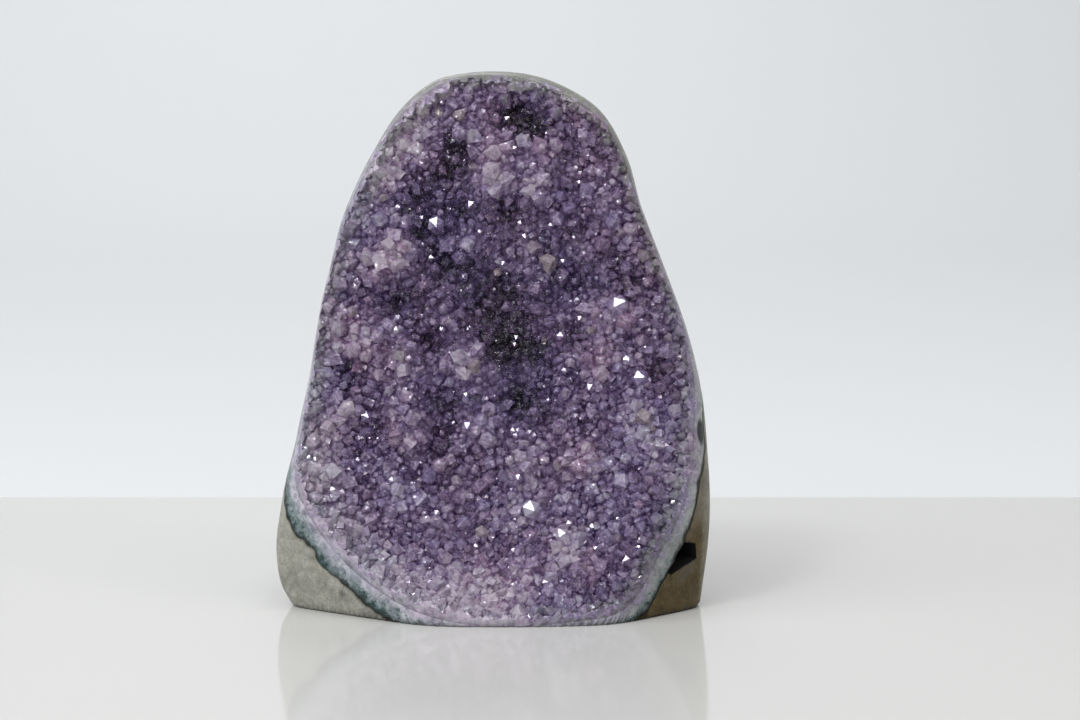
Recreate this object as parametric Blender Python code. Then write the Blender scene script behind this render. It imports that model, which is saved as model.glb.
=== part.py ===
"""Amethyst cluster: a polished, cut-base section of a geode that stands on its sawn foot.

Three pieces grown against each other, from the back to the front: rough basalt, a lining of
banded agate and a crust of amethyst crystals.  The sawn foot rests on Z = 0, the crystal face
looks along -Y, and the origin is under the middle of the cluster.  The functions work in
millimetres, and each mesh is scaled to metres when it is finished.
"""

import math
import random

import bmesh
import bpy
from mathutils import Matrix, Vector, noise

MM = 0.001

# Outer form, seen along +Y: (x, z) points round the silhouette, clockwise from the top.  The
# points below the floor only steer the curve to the sawn foot.
OUTLINE = [
    (0, 140), (10, 139), (19.5, 135.5), (28, 129.5), (34.2, 119), (38.6, 104.5), (44.8, 88.5),
    (50.6, 72.5), (54.6, 55), (56.2, 38), (56.2, 15), (54, -4), (46, -38), (0, -70), (-46, -38),
    (-53, -3), (-56.8, 6), (-57.7, 15), (-55.8, 28), (-51.8, 45), (-47.8, 64), (-43.4, 87),
    (-38, 106), (-31.6, 119), (-24, 130.5), (-15.5, 137.5), (-8, 139.4),
]
BODY_CENTRE = (0.0, 62.0)
BODY_POWER = 2.3           # roundness of the section from the rim to the middle
SEAM_FLOOR = -11.0         # y of the widest line at the floor
SEAM_LEAN = 0.07           # how far that line leans back for each millimetre of height
FRONT_DEPTH = 24.0         # from the widest line to the front, at the floor
FRONT_TAPER = 0.06
BACK_DEPTH = 45.0          # from the widest line to the back, at the floor
BACK_TAPER = 0.15

# Ground and polished corners of the foot: plane normal (x, y, z) and distance from the origin.
GROUND_FACETS = [((-0.50, -0.86, -0.16), 36.5), ((0.63, -0.77, -0.14), 43.5)]
GROUND_BLEND = 1.6

# Hollow that the lining follows: its middle, and its reach by direction in degrees.
POCKET_CENTRE = (2.0, 57.0)
POCKET_REACH = [
    (-180, 76), (-159, 73), (-134, 60), (-112, 55), (-90, 54), (-72, 56), (-57, 61),
    (-43, 57.5), (-24, 56.5), (-6, 57), (12, 66), (45, 87), (90, 106), (135, 90),
]
POCKET_POWER = 3.0
POCKET_MOUTH = -39.5       # y of the mouth plane at the floor
POCKET_LEAN = 0.10
POCKET_DEPTH = 21.0
POCKET_FORWARD = 70.0      # how far the fill reaches out past the mouth
SWELL = 1.6                # soft waves of the lining
SWELL_PITCH = 26.0

# Layers, measured back from the mean crystal surface.
ROOT_BACK = 2.3
CRUST_BACK = 3.0
AGATE_FRONT = 3.3
AGATE_BACK = 8.4
BASALT_FRONT = 8.7

# Crystal points that cover the whole face: a triangular lattice with one point in three raised.
LATTICE_PITCH = 3.45
LATTICE_HALF_WIDTH = 62.0
LATTICE_TOP = 142.0
LATTICE_BOTTOM = -4.0
POINT_HEIGHT = (1.2, 3.0)
VALLEY_DEPTH = (0.0, 1.2)
LATTICE_JITTER = 0.24

# Larger crystals that stand out of the crust.
CRYSTAL_COUNT = 40
CRYSTAL_APART = 12.0
CRYSTAL_RADIUS = (3.6, 5.4)
CRYSTAL_STEM = (1.4, 3.6)
CRYSTAL_POINT = 1.1        # height of the six-faced point over the crystal's radius
CRYSTAL_ROOT = 3.0
CRYSTAL_LEAN = 34.0
CRYSTAL_SEED = 7

# Rough natural back, behind the polished rim.
POLISH_WIDTH = (9.0, 15.0)
LUMP_HEIGHT = 4.2
LUMP_PITCH = 24.0
KNOB_HEIGHT = 1.8
KNOB_PITCH = 10.0
LEDGE_HEIGHT = 1.6
LEDGE_STEP = 9.0
PIT_DEPTH = 0.45           # over the pit's width
PITS = [((22, 98), 6.0), ((-20, 62), 8.0), ((30, 40), 7.0), ((-6, 24), 5.0)]

# Open gas bubbles in the polished stone at the right: middle and half sizes.
BUBBLES = [((50.2, -18.2, 16.0), (3.8, 4.5, 3.4)), ((54.0, -12.6, 43.5), (1.4, 2.2, 3.4))]

BODY_CUTS = 15             # cuts of each cube edge that the forms start from
LAYER_CUTS = 9
STONE_REACH = 100.0        # reach of the foot's cutter


def closed_curve(knots, period):
    """Return a smooth periodic function through (position, value) knots."""
    knots = sorted(knots)
    count = len(knots)

    def knot(index):
        lap, place = divmod(index, count)
        return knots[place][0] + lap * period, knots[place][1]

    def slope(index):
        before, after = knot(index - 1), knot(index + 1)
        return (after[1] - before[1]) / (after[0] - before[0])

    def value(position):
        position = knots[0][0] + (position - knots[0][0]) % period
        index = max(i for i in range(count) if knots[i][0] <= position)
        start, end = knot(index), knot(index + 1)
        span = end[0] - start[0]
        t = (position - start[0]) / span
        rise = t * t * (3 - 2 * t)
        lead = t * (1 - t) * (1 - t) * span * slope(index)
        trail = t * t * (1 - t) * span * slope(index + 1)
        return start[1] + (end[1] - start[1]) * rise + lead - trail

    return value


def polar(x, z, centre):
    """Return the angle and the distance of (x, z) seen from the centre."""
    return math.atan2(z - centre[1], x - centre[0]), math.hypot(x - centre[0], z - centre[1])


body_reach = closed_curve([polar(x, z, BODY_CENTRE) for x, z in OUTLINE], 2 * math.pi)
pocket_reach = closed_curve([(math.radians(a), r) for a, r in POCKET_REACH], 2 * math.pi)


def smoothstep(low, high, value):
    """Return 0 below low, 1 above high and a smooth rise between."""
    t = min(max((value - low) / (high - low), 0.0), 1.0)
    return t * t * (3 - 2 * t)


def seam(z):
    """Return the y of the body's widest line at height z."""
    return SEAM_FLOOR + SEAM_LEAN * z


def ground(point):
    """Press a point back where it stands out past a ground facet."""
    for normal, distance in GROUND_FACETS:
        normal = Vector(normal).normalized()
        over = (normal.dot(point) - distance) / GROUND_BLEND
        point = point - normal * GROUND_BLEND * math.log1p(math.exp(min(over, 30.0)))
    return point


def body_point(direction):
    """Place a unit direction on the smooth outer form."""
    angle = math.atan2(direction.z, direction.x)
    across = min(math.hypot(direction.x, direction.z), 1.0)
    reach = across ** (2 / BODY_POWER) * body_reach(angle)
    x = BODY_CENTRE[0] + reach * math.cos(angle)
    z = BODY_CENTRE[1] + reach * math.sin(angle)
    depth, taper = (FRONT_DEPTH, FRONT_TAPER) if direction.y < 0 else (BACK_DEPTH, BACK_TAPER)
    section = abs(direction.y) ** (2 / BODY_POWER)
    y = seam(z) + math.copysign((depth - taper * z) * section, direction.y)
    return ground(Vector((x, y, z)))


def roughened(point, outward):
    """Raise lumps, knobs, ledges and pits on the natural back."""
    mask = smoothstep(*POLISH_WIDTH, point.y - seam(point.z))
    wander = noise.noise(point / LUMP_PITCH + Vector((2.0, 9.0, 4.0)))
    lump = LUMP_HEIGHT * noise.noise(point / LUMP_PITCH)
    knob = KNOB_HEIGHT * noise.noise(point / KNOB_PITCH + Vector((7.0, 3.0, 5.0)))
    level = point.z / LEDGE_STEP + 1.5 * wander
    ledge = LEDGE_HEIGHT * (smoothstep(0.2, 0.6, level - math.floor(level)) - 0.5)
    pit = 0.0
    for (x, z), width in PITS:
        away = math.hypot(point.x - x, point.z - z) / width
        pit += PIT_DEPTH * width * math.exp(-away * away)
    return point + outward * mask * (lump + knob + ledge - pit)


def swell(x, z):
    """Return the soft waves of the lining at (x, z)."""
    broad = noise.noise(Vector((x, z, 11.0)) / SWELL_PITCH)
    fine = noise.noise(Vector((x, z, 31.0)) / (0.45 * SWELL_PITCH))
    return SWELL * (broad + 0.45 * fine)


def pocket_wall(x, z, behind=0.0):
    """Return the y of the layer surface a given distance behind the mean crystal surface."""
    angle, away = polar(x, z, POCKET_CENTRE)
    share = min(away / (pocket_reach(angle) + behind), 1.0)
    section = (1 - share ** POCKET_POWER) ** (1 / POCKET_POWER)
    mouth = POCKET_MOUTH + POCKET_LEAN * z
    return mouth + (POCKET_DEPTH + behind) * section + swell(x, z)


def pocket_point(direction, behind):
    """Place a unit direction on the solid that fills the hollow up to one layer surface."""
    angle = math.atan2(direction.z, direction.x)
    across = min(math.hypot(direction.x, direction.z), 1.0)
    reach = across ** (2 / POCKET_POWER) * (pocket_reach(angle) + behind)
    x = POCKET_CENTRE[0] + reach * math.cos(angle)
    z = POCKET_CENTRE[1] + reach * math.sin(angle)
    mouth = POCKET_MOUTH + POCKET_LEAN * z + swell(x, z)
    if direction.y < 0:
        return Vector((x, mouth + POCKET_FORWARD * direction.y, z))
    section = direction.y ** (2 / POCKET_POWER)
    return Vector((x, mouth + (POCKET_DEPTH + behind) * section, z))


def wall_normal(x, z):
    """Return the direction out of the mean crystal surface into the hollow."""
    step = 0.5
    slope_x = (pocket_wall(x + step, z) - pocket_wall(x - step, z)) / (2 * step)
    slope_z = (pocket_wall(x, z + step) - pocket_wall(x, z - step)) / (2 * step)
    return Vector((slope_x, -1.0, slope_z)).normalized()


def finished(name, form):
    """Turn a bmesh in millimetres into an object in metres, its faces pointing out."""
    bmesh.ops.recalc_face_normals(form, faces=form.faces)
    bmesh.ops.scale(form, verts=form.verts, vec=(MM, MM, MM))
    mesh = bpy.data.meshes.new(name)
    form.to_mesh(mesh)
    form.free()
    return bpy.data.objects.new(name, mesh)


def ball(place, cuts):
    """Make a ball from a subdivided cube, whose every vertex is moved by the place function."""
    form = bmesh.new()
    bmesh.ops.create_cube(form, size=2.0)
    bmesh.ops.subdivide_edges(form, edges=form.edges, cuts=cuts, use_grid_fill=True)
    bmesh.ops.triangulate(form, faces=form.faces, quad_method="FIXED")
    for vertex in form.verts:
        vertex.co = place(vertex.co.normalized())
    return form


def smooth_body():
    """Make the whole cluster's polished outer form."""
    return finished("body_form", ball(body_point, BODY_CUTS))


def rough_body():
    """Make the outer form with the natural back's relief."""
    form = ball(body_point, BODY_CUTS)
    bmesh.ops.recalc_face_normals(form, faces=form.faces)
    form.normal_update()
    places = [roughened(vertex.co, vertex.normal) for vertex in form.verts]
    for vertex, place in zip(form.verts, places):
        vertex.co = place
    return finished("basalt_matrix", form)


def layer_fill(name, behind):
    """Make the solid that fills the hollow up to one layer surface."""
    return finished(name, ball(lambda direction: pocket_point(direction, behind), LAYER_CUTS))


def crystal_face():
    """Make the solid that fills the hollow up to its crystal points."""
    dice = random.Random(CRYSTAL_SEED)
    row_pitch = LATTICE_PITCH * math.sqrt(3) / 2
    columns = math.ceil(2 * LATTICE_HALF_WIDTH / LATTICE_PITCH)
    rows = math.ceil((LATTICE_TOP - LATTICE_BOTTOM) / row_pitch)
    form = bmesh.new()
    bmesh.ops.create_grid(form, x_segments=columns, y_segments=rows, size=1.0)
    raised = {}
    for vertex in form.verts:
        column = round((vertex.co.x + 1) / 2 * columns)
        row = round((vertex.co.y + 1) / 2 * rows)
        raised[vertex] = (column - row // 2 - row) % 3 == 0
        x = (column + row % 2 / 2) * LATTICE_PITCH - LATTICE_HALF_WIDTH
        vertex.co = (x, row * row_pitch + LATTICE_BOTTOM, 0.0)
    bmesh.ops.triangulate(form, faces=form.faces, quad_method="SHORT_EDGE")
    for vertex in form.verts:
        x = vertex.co.x + dice.uniform(-LATTICE_JITTER, LATTICE_JITTER) * LATTICE_PITCH
        z = vertex.co.y + dice.uniform(-LATTICE_JITTER, LATTICE_JITTER) * LATTICE_PITCH
        lift = dice.uniform(*POINT_HEIGHT) if raised[vertex] else -dice.uniform(*VALLEY_DEPTH)
        vertex.co = (x, pocket_wall(x, z) - lift, z)
    front = bmesh.ops.extrude_face_region(form, geom=form.faces[:])
    for vertex in front["geom"]:
        if isinstance(vertex, bmesh.types.BMVert):
            vertex.co.y = POCKET_MOUTH - POCKET_FORWARD
    return finished("hollow", form)


def crystal_roots(dice):
    """Return (x, z) places for the larger crystals, spread over the face."""
    places = []
    while len(places) < CRYSTAL_COUNT:
        x = dice.uniform(-LATTICE_HALF_WIDTH, LATTICE_HALF_WIDTH)
        z = dice.uniform(0, LATTICE_TOP)
        angle, away = polar(x, z, BODY_CENTRE)
        pocket_angle, pocket_away = polar(x, z, POCKET_CENTRE)
        if away > body_reach(angle) - 4 or pocket_away > pocket_reach(pocket_angle) - 6:
            continue
        if all(math.hypot(x - px, z - pz) > CRYSTAL_APART for px, pz in places):
            places.append((x, z))
    return places


def large_crystals():
    """Make the larger crystals, which stay clear of each other: six sides and six-faced points."""
    dice = random.Random(CRYSTAL_SEED)
    form = bmesh.new()
    for x, z in crystal_roots(dice):
        radius = dice.uniform(*CRYSTAL_RADIUS)
        length = CRYSTAL_ROOT + dice.uniform(*CRYSTAL_STEM)
        made = bmesh.ops.create_cone(
            form, cap_ends=True, segments=6, radius1=radius, radius2=radius, depth=length
        )
        faces = {face for vertex in made["verts"] for face in vertex.link_faces}
        top = max(faces, key=lambda face: face.calc_center_median().z)
        tip = bmesh.ops.poke(form, faces=[top], offset=CRYSTAL_POINT * radius)
        verts = made["verts"] + tip["verts"]
        normal = wall_normal(x, z)
        side = normal.orthogonal().normalized()
        side.rotate(Matrix.Rotation(dice.uniform(0, 2 * math.pi), 3, normal))
        lean = math.radians(dice.uniform(0, CRYSTAL_LEAN))
        axis = normal * math.cos(lean) + side * math.sin(lean)
        turn = axis.to_track_quat("Z", "Y").to_matrix()
        turn = turn @ Matrix.Rotation(dice.uniform(0, math.pi / 3), 3, "Z")
        bmesh.ops.translate(form, verts=verts, vec=(0, 0, length / 2 - CRYSTAL_ROOT))
        bmesh.ops.rotate(form, verts=verts, matrix=turn)
        bmesh.ops.translate(form, verts=verts, vec=(x, pocket_wall(x, z), z))
    return finished("large_crystals", form)


def foot_block():
    """Make the block below the floor that the saw takes away."""
    form = bmesh.new()
    bmesh.ops.create_cube(form, size=2 * STONE_REACH)
    bmesh.ops.translate(form, verts=form.verts, vec=(0, 0, -STONE_REACH))
    return finished("foot_block", form)


def bubbles():
    """Make the open gas bubbles, as solids to be cut from the basalt."""
    form = bmesh.new()
    for middle, half_sizes in BUBBLES:
        made = bmesh.ops.create_icosphere(form, subdivisions=2, radius=1.0)
        bmesh.ops.scale(form, verts=made["verts"], vec=half_sizes)
        bmesh.ops.translate(form, verts=made["verts"], vec=middle)
    return finished("gas_bubbles", form)


def boolean(obj, operation, cutter):
    """Add a Boolean modifier for two closed solids."""
    modifier = obj.modifiers.new(f"{operation.lower()}_{cutter.name}", "BOOLEAN")
    modifier.operation = operation
    modifier.object = cutter


def stone(name, colour, roughness):
    """Make a Principled material."""
    material = bpy.data.materials.new(name)
    material.use_nodes = True
    shader = material.node_tree.nodes["Principled BSDF"]
    shader.inputs["Base Color"].default_value = (*colour, 1.0)
    shader.inputs["Roughness"].default_value = roughness
    shader.inputs["Metallic"].default_value = 0.0
    return material


def main():
    """Build the three pieces of the cluster."""
    for obj in list(bpy.data.objects):
        bpy.data.objects.remove(obj)
    parts = bpy.data.collections.new("amethyst_cluster")
    helpers = bpy.data.collections.new("cutters")
    bpy.context.scene.collection.children.link(parts)
    bpy.context.scene.collection.children.link(helpers)

    body = smooth_body()
    foot = foot_block()
    gas = bubbles()
    hollow = crystal_face()
    crystals = large_crystals()
    root_fill = layer_fill("root_fill", ROOT_BACK)
    crust_fill = layer_fill("crust_fill", CRUST_BACK)
    agate_front = layer_fill("agate_front", AGATE_FRONT)
    agate_fill = layer_fill("agate_fill", AGATE_BACK)
    basalt_front = layer_fill("basalt_front", BASALT_FRONT)
    fills = [root_fill, crust_fill, agate_front, agate_fill, basalt_front]
    for cutter in [body, foot, gas, hollow, crystals, *fills]:
        helpers.objects.link(cutter)
        cutter.hide_render = True
        cutter.display_type = "WIRE"
    boolean(body, "DIFFERENCE", foot)
    boolean(crystals, "INTERSECT", root_fill)

    basalt = rough_body()
    boolean(basalt, "DIFFERENCE", foot)
    boolean(basalt, "DIFFERENCE", basalt_front)
    boolean(basalt, "DIFFERENCE", gas)

    agate = bpy.data.objects.new("agate_lining", agate_fill.data.copy())
    boolean(agate, "DIFFERENCE", agate_front)
    boolean(agate, "INTERSECT", body)

    crust = bpy.data.objects.new("amethyst_crust", crust_fill.data.copy())
    boolean(crust, "DIFFERENCE", hollow)
    boolean(crust, "UNION", crystals)
    boolean(crust, "INTERSECT", body)

    for obj, material in (
        (basalt, stone("basalt", (0.23, 0.21, 0.17), 0.55)),
        (agate, stone("agate", (0.62, 0.66, 0.68), 0.25)),
        (crust, stone("amethyst", (0.27, 0.17, 0.38), 0.15)),
    ):
        obj.data.materials.append(material)
        parts.objects.link(obj)


main()
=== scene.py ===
"""Looks of the amethyst cluster: three grown-together pieces that stand on a glossy white table.

The pieces keep the form of the frame's solids.  Each is made again from the same driving sizes
with a fine mesh: rough basalt at the back, a lining of agate, and a crust of several thousand
fused crystals.  The x axis runs to the right, y to the back and z up.  Forms are worked out in
millimetres and turned into metres when a mesh is finished.
"""

import logging
import math
from dataclasses import asdict, dataclass, field
from enum import Enum

import bpy
import numpy as np
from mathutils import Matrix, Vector, noise
from mathutils.bvhtree import BVHTree


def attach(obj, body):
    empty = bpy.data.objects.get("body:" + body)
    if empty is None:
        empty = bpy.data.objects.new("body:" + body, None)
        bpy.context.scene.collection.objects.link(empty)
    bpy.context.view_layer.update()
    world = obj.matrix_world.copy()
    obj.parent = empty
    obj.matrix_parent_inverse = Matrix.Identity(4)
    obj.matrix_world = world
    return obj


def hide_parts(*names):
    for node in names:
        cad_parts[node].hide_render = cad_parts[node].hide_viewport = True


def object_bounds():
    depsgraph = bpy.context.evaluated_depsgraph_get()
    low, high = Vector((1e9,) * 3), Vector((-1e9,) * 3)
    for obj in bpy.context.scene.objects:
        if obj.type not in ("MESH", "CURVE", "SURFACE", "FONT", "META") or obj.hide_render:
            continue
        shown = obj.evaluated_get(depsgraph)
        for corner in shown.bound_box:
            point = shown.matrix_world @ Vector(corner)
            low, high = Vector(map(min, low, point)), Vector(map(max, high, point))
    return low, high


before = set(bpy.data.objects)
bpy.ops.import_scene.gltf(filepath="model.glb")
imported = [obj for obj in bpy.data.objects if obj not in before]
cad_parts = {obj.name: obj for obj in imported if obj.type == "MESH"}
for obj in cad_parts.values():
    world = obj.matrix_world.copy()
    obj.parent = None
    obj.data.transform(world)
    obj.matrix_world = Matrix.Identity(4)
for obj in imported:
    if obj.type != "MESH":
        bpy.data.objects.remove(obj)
CAD_BOX = [list(corner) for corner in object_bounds()]

log = logging.getLogger("amethyst_cluster")

MM = 0.001
UP = np.array([0.0, 0.0, 1.0])

Array = np.ndarray
Material = bpy.types.Material
Mesh = bpy.types.Mesh
Node = bpy.types.Node
Object = bpy.types.Object
Socket = bpy.types.NodeSocket
Sockets = bpy.types.bpy_prop_collection
Tree = bpy.types.NodeTree
Colour = tuple[float, float, float]
Place = tuple[float, float, float]
Pair = tuple[float, float]
Knots = tuple[tuple[float, float], ...]

HIDDEN = -1  # "source" of faces that belong to no crystal
POLISHED = -2  # "source" of faces on the polished outer form
PASSED_OVER = 9.0  # what makes too small a crystal look that many millimetres further away


# ---- numbers and fields


def smoothstep(low: float, high: float, values: Array) -> Array:
    """Return 0 below low, 1 above high and a smooth rise between."""
    share = np.clip((values - low) / (high - low), 0.0, 1.0)
    return share * share * (3 - 2 * share)


def waves(points: Array, pitch: float, shift: Place = (0, 0, 0)) -> Array:
    """Return smooth noise, about -1 to 1, that changes over the pitch; a shift gives another field."""
    places = (points / pitch + np.array(shift, float)).tolist()
    return np.array([noise.noise(place) for place in places])


def unit(vectors: Array) -> Array:
    """Return the rows at length one."""
    return vectors / np.maximum(np.linalg.norm(vectors, axis=-1, keepdims=True), 1e-12)


@dataclass(frozen=True)
class Wave:
    """Smooth noise of one height and pitch, in millimetres."""

    height: float
    pitch: float
    shift: Place = (0, 0, 0)

    def at(self, points: Array) -> Array:
        """Return the wave's height at points."""
        return self.height * waves(points, self.pitch, self.shift)


@dataclass(frozen=True)
class ClosedCurve:
    """A smooth periodic function through (position, value) knots."""

    knots: Knots
    period: float = 2 * math.pi

    def at(self, positions: Array) -> Array:
        """Return the curve's values.

        Args:
            positions: Where to read the curve.

        Returns:
            One value a position.
        """
        knots = np.array(sorted(self.knots))
        lap = np.array([self.period, 0.0])
        wide = np.vstack([knots[-2:] - lap, knots, knots[:2] + lap])
        slopes = (wide[2:, 1] - wide[:-2, 1]) / (wide[2:, 0] - wide[:-2, 0])
        place = knots[0, 0] + (positions - knots[0, 0]) % self.period
        index = np.searchsorted(knots[:, 0], place, side="right") - 1
        start, end = wide[index + 2], wide[index + 3]
        span = end[:, 0] - start[:, 0]
        t = (place - start[:, 0]) / span
        rise = t * t * (3 - 2 * t)
        lead = t * (1 - t) * (1 - t) * span * slopes[index + 1]
        trail = t * t * (1 - t) * span * slopes[index + 2]
        return start[:, 1] + (end[:, 1] - start[:, 1]) * rise + lead - trail


# ---- the stone's driving form


@dataclass(frozen=True)
class StoneForm:
    """The driving sizes of the cluster, in millimetres, as the frame's solids have them."""

    outline: Knots = (
        (0, 140), (10, 139), (19.5, 135.5), (28, 129.5), (34.2, 119), (38.6, 104.5),
        (44.8, 88.5), (50.6, 72.5), (54.6, 55), (56.2, 38), (56.2, 15), (54, -4), (46, -38),
        (0, -70), (-46, -38), (-53, -3), (-56.8, 6), (-57.7, 15), (-55.8, 28), (-51.8, 45),
        (-47.8, 64), (-43.4, 87), (-38, 106), (-31.6, 119), (-24, 130.5), (-15.5, 137.5),
        (-8, 139.4),
    )
    body_centre: tuple[float, float] = (0.0, 62.0)
    body_power: float = 2.3
    seam_floor: float = -11.0
    seam_lean: float = 0.07
    front_depth: float = 24.0
    front_taper: float = 0.06
    back_depth: float = 45.0
    back_taper: float = 0.15
    ground_facets: tuple[tuple[Place, float], ...] = (
        ((-0.50, -0.86, -0.16), 36.5),
        ((0.63, -0.77, -0.14), 43.5),
    )
    ground_blend: float = 1.6
    foot_edge: float = 1.1
    foot_rise: Pair = (-0.6, 1.0)
    pocket_centre: tuple[float, float] = (2.0, 57.0)
    pocket_reach: Knots = (
        (-180, 76), (-159, 73), (-134, 60), (-112, 55), (-90, 54), (-72, 56), (-57, 61),
        (-43, 57.5), (-24, 56.5), (-6, 57), (12, 66), (45, 87), (90, 106), (135, 90),
    )
    pocket_power: float = 3.0
    pocket_mouth: float = -39.5
    pocket_lean: float = 0.10
    pocket_depth: float = 21.0
    pocket_forward: float = 70.0
    swell_height: float = 1.6
    swell_pitch: float = 26.0
    swell_fine: float = 0.45
    polish_width: Pair = (9.0, 15.0)
    lump: Wave = Wave(4.2, 24.0)
    knob: Wave = Wave(1.8, 10.0, (7.0, 3.0, 5.0))
    ledge_height: float = 1.6
    ledge_step: float = 9.0
    ledge_wave: Wave = Wave(1.5, 24.0, (2.0, 9.0, 4.0))
    ledge_rise: Pair = (0.2, 0.6)
    ledge_drop: Pair = (0.84, 1.0)
    pit_depth: float = 0.45
    pits: tuple[tuple[tuple[float, float], float], ...] = (
        ((22, 98), 6.0), ((-20, 62), 8.0), ((30, 40), 7.0), ((-6, 24), 5.0),
    )
    lining_back: float = 8.4
    crack_waves: tuple[Wave, Wave] = (
        Wave(1.5, 8.5, (3.0, 0.0, 6.0)), Wave(0.8, 2.6, (1.0, 7.0, 2.0)),
    )
    notch_place: Place = (52.5, -17.0, 34.0)
    notch_reach: float = 9.0
    notch_depth: float = 2.1

    @staticmethod
    def polar(x: Array, z: Array, centre: Pair) -> tuple[Array, Array]:
        """Return the angle and the distance of (x, z) seen from the centre."""
        return np.arctan2(z - centre[1], x - centre[0]), np.hypot(x - centre[0], z - centre[1])

    def body_curve(self) -> ClosedCurve:
        """Return the silhouette's reach by angle round the body's centre."""
        angle, reach = self.polar(*np.array(self.outline, float).T, self.body_centre)
        return ClosedCurve(tuple(zip(angle.tolist(), reach.tolist())))

    def pocket_curve(self) -> ClosedCurve:
        """Return the hollow's reach by angle round its centre."""
        return ClosedCurve(tuple((math.radians(angle), reach) for angle, reach in self.pocket_reach))

    def seam(self, z: Array) -> Array:
        """Return the y of the body's widest line at height z."""
        return self.seam_floor + self.seam_lean * z

    def weathered(self, points: Array) -> Array:
        """Return how far points lie on the natural back, 0 on the polished front and 1 behind."""
        return smoothstep(*self.polish_width, points[:, 1] - self.seam(points[:, 2]))

    def ground(self, points: Array) -> Array:
        """Press points back where they stand out past a ground facet.

        Args:
            points: Places on the smooth body, one row each.

        Returns:
            The places on the ground body.
        """
        for normal, distance in self.ground_facets:
            outward = unit(np.array(normal))
            over = np.minimum((points @ outward - distance) / self.ground_blend, 30.0)
            points = points - np.outer(self.ground_blend * np.log1p(np.exp(over)), outward)
        return points

    def body_points(self, directions: Array) -> Array:
        """Place unit directions on the smooth outer form.

        Args:
            directions: Unit vectors, one row each.

        Returns:
            One point a direction.
        """
        angle = np.arctan2(directions[:, 2], directions[:, 0])
        across = np.minimum(np.hypot(directions[:, 0], directions[:, 2]), 1.0)
        reach = across ** (2 / self.body_power) * self.body_curve().at(angle)
        x = self.body_centre[0] + reach * np.cos(angle)
        z = self.body_centre[1] + reach * np.sin(angle)
        front = directions[:, 1] < 0
        depth = np.where(front, self.front_depth, self.back_depth)
        taper = np.where(front, self.front_taper, self.back_taper)
        section = np.abs(directions[:, 1]) ** (2 / self.body_power)
        y = self.seam(z) + np.sign(directions[:, 1]) * (depth - taper * z) * section
        points = self.ground(np.stack([x, y, z], axis=1))
        inward = self.foot_edge * (1 - smoothstep(*self.foot_rise, points[:, 2]))
        away = np.hypot(points[:, 0], points[:, 1])
        points[:, :2] *= (1 - inward / np.maximum(away, 1.0))[:, None]
        return points

    def swell(self, x: Array, z: Array) -> Array:
        """Return the soft waves of the lining at (x, z).

        Args:
            x: Places to the right.
            z: Heights.

        Returns:
            One height of the waves a place.
        """
        broad = waves(np.stack([x, z, np.full_like(x, 11.0)], axis=1), self.swell_pitch)
        fine_pitch = self.swell_fine * self.swell_pitch
        fine = waves(np.stack([x, z, np.full_like(x, 31.0)], axis=1), fine_pitch)
        return self.swell_height * (broad + self.swell_fine * fine)

    def layer_points(self, directions: Array, behind: Array | float) -> Array:
        """Place unit directions on the solid that fills the hollow up to one layer surface.

        Args:
            directions: Unit vectors, one row each.
            behind: How far the layer surface lies behind the mean crystal surface.

        Returns:
            One point a direction.
        """
        angle = np.arctan2(directions[:, 2], directions[:, 0])
        across = np.minimum(np.hypot(directions[:, 0], directions[:, 2]), 1.0)
        reach = across ** (2 / self.pocket_power) * (self.pocket_curve().at(angle) + behind)
        x = self.pocket_centre[0] + reach * np.cos(angle)
        z = self.pocket_centre[1] + reach * np.sin(angle)
        mouth = self.pocket_mouth + self.pocket_lean * z + self.swell(x, z)
        section = np.maximum(directions[:, 1], 0.0) ** (2 / self.pocket_power)
        back = mouth + (self.pocket_depth + behind) * section
        front = mouth + self.pocket_forward * directions[:, 1]
        return np.stack([x, np.where(directions[:, 1] < 0, front, back), z], axis=1)

    def layer_depth(self, points: Array) -> Array:
        """Return how far points lie behind the mean crystal surface, by halving.

        Args:
            points: Places, one row each.

        Returns:
            One depth a point, below 0 in the hollow.
        """
        angle, away = self.polar(points[:, 0], points[:, 2], self.pocket_centre)
        reach = self.pocket_curve().at(angle)
        mouth = self.pocket_mouth + self.pocket_lean * points[:, 2]
        inward = np.maximum(points[:, 1] - mouth - self.swell(points[:, 0], points[:, 2]), 0.0)
        low = np.full(len(points), 1.0 - self.pocket_depth)
        high = np.full(len(points), 80.0)
        for _ in range(26):
            middle = (low + high) / 2
            outside = (away / (reach + middle)) ** self.pocket_power
            outside += (inward / (self.pocket_depth + middle)) ** self.pocket_power
            low = np.where(outside > 1, middle, low)
            high = np.where(outside > 1, high, middle)
        return (low + high) / 2

    def layer_normal(self, points: Array, step: float = 0.4) -> Array:
        """Return the directions out of the layers into the hollow at points.

        Args:
            points: Places, one row each.
            step: How far to either side the slope is felt for.

        Returns:
            One unit direction a point.
        """
        slopes = [
            self.layer_depth(points + step * side) - self.layer_depth(points - step * side)
            for side in np.eye(3)
        ]
        return -unit(np.stack(slopes, axis=1))

    def relief(self, points: Array) -> Array:
        """Return the height of the natural back's lumps, knobs, ledges and pits at points.

        Args:
            points: Places on the smooth body, one row each.

        Returns:
            One height a point.
        """
        height = self.lump.at(points) + self.knob.at(points)
        level = points[:, 2] / self.ledge_step + self.ledge_wave.at(points)
        share = level - np.floor(level)
        step = smoothstep(*self.ledge_rise, share) - smoothstep(*self.ledge_drop, share)
        height += self.ledge_height * (step - 0.5)
        for (x, z), width in self.pits:
            away = np.hypot(points[:, 0] - x, points[:, 2] - z) / width
            height -= self.pit_depth * width * np.exp(-away * away)
        return self.weathered(points) * height

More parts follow.
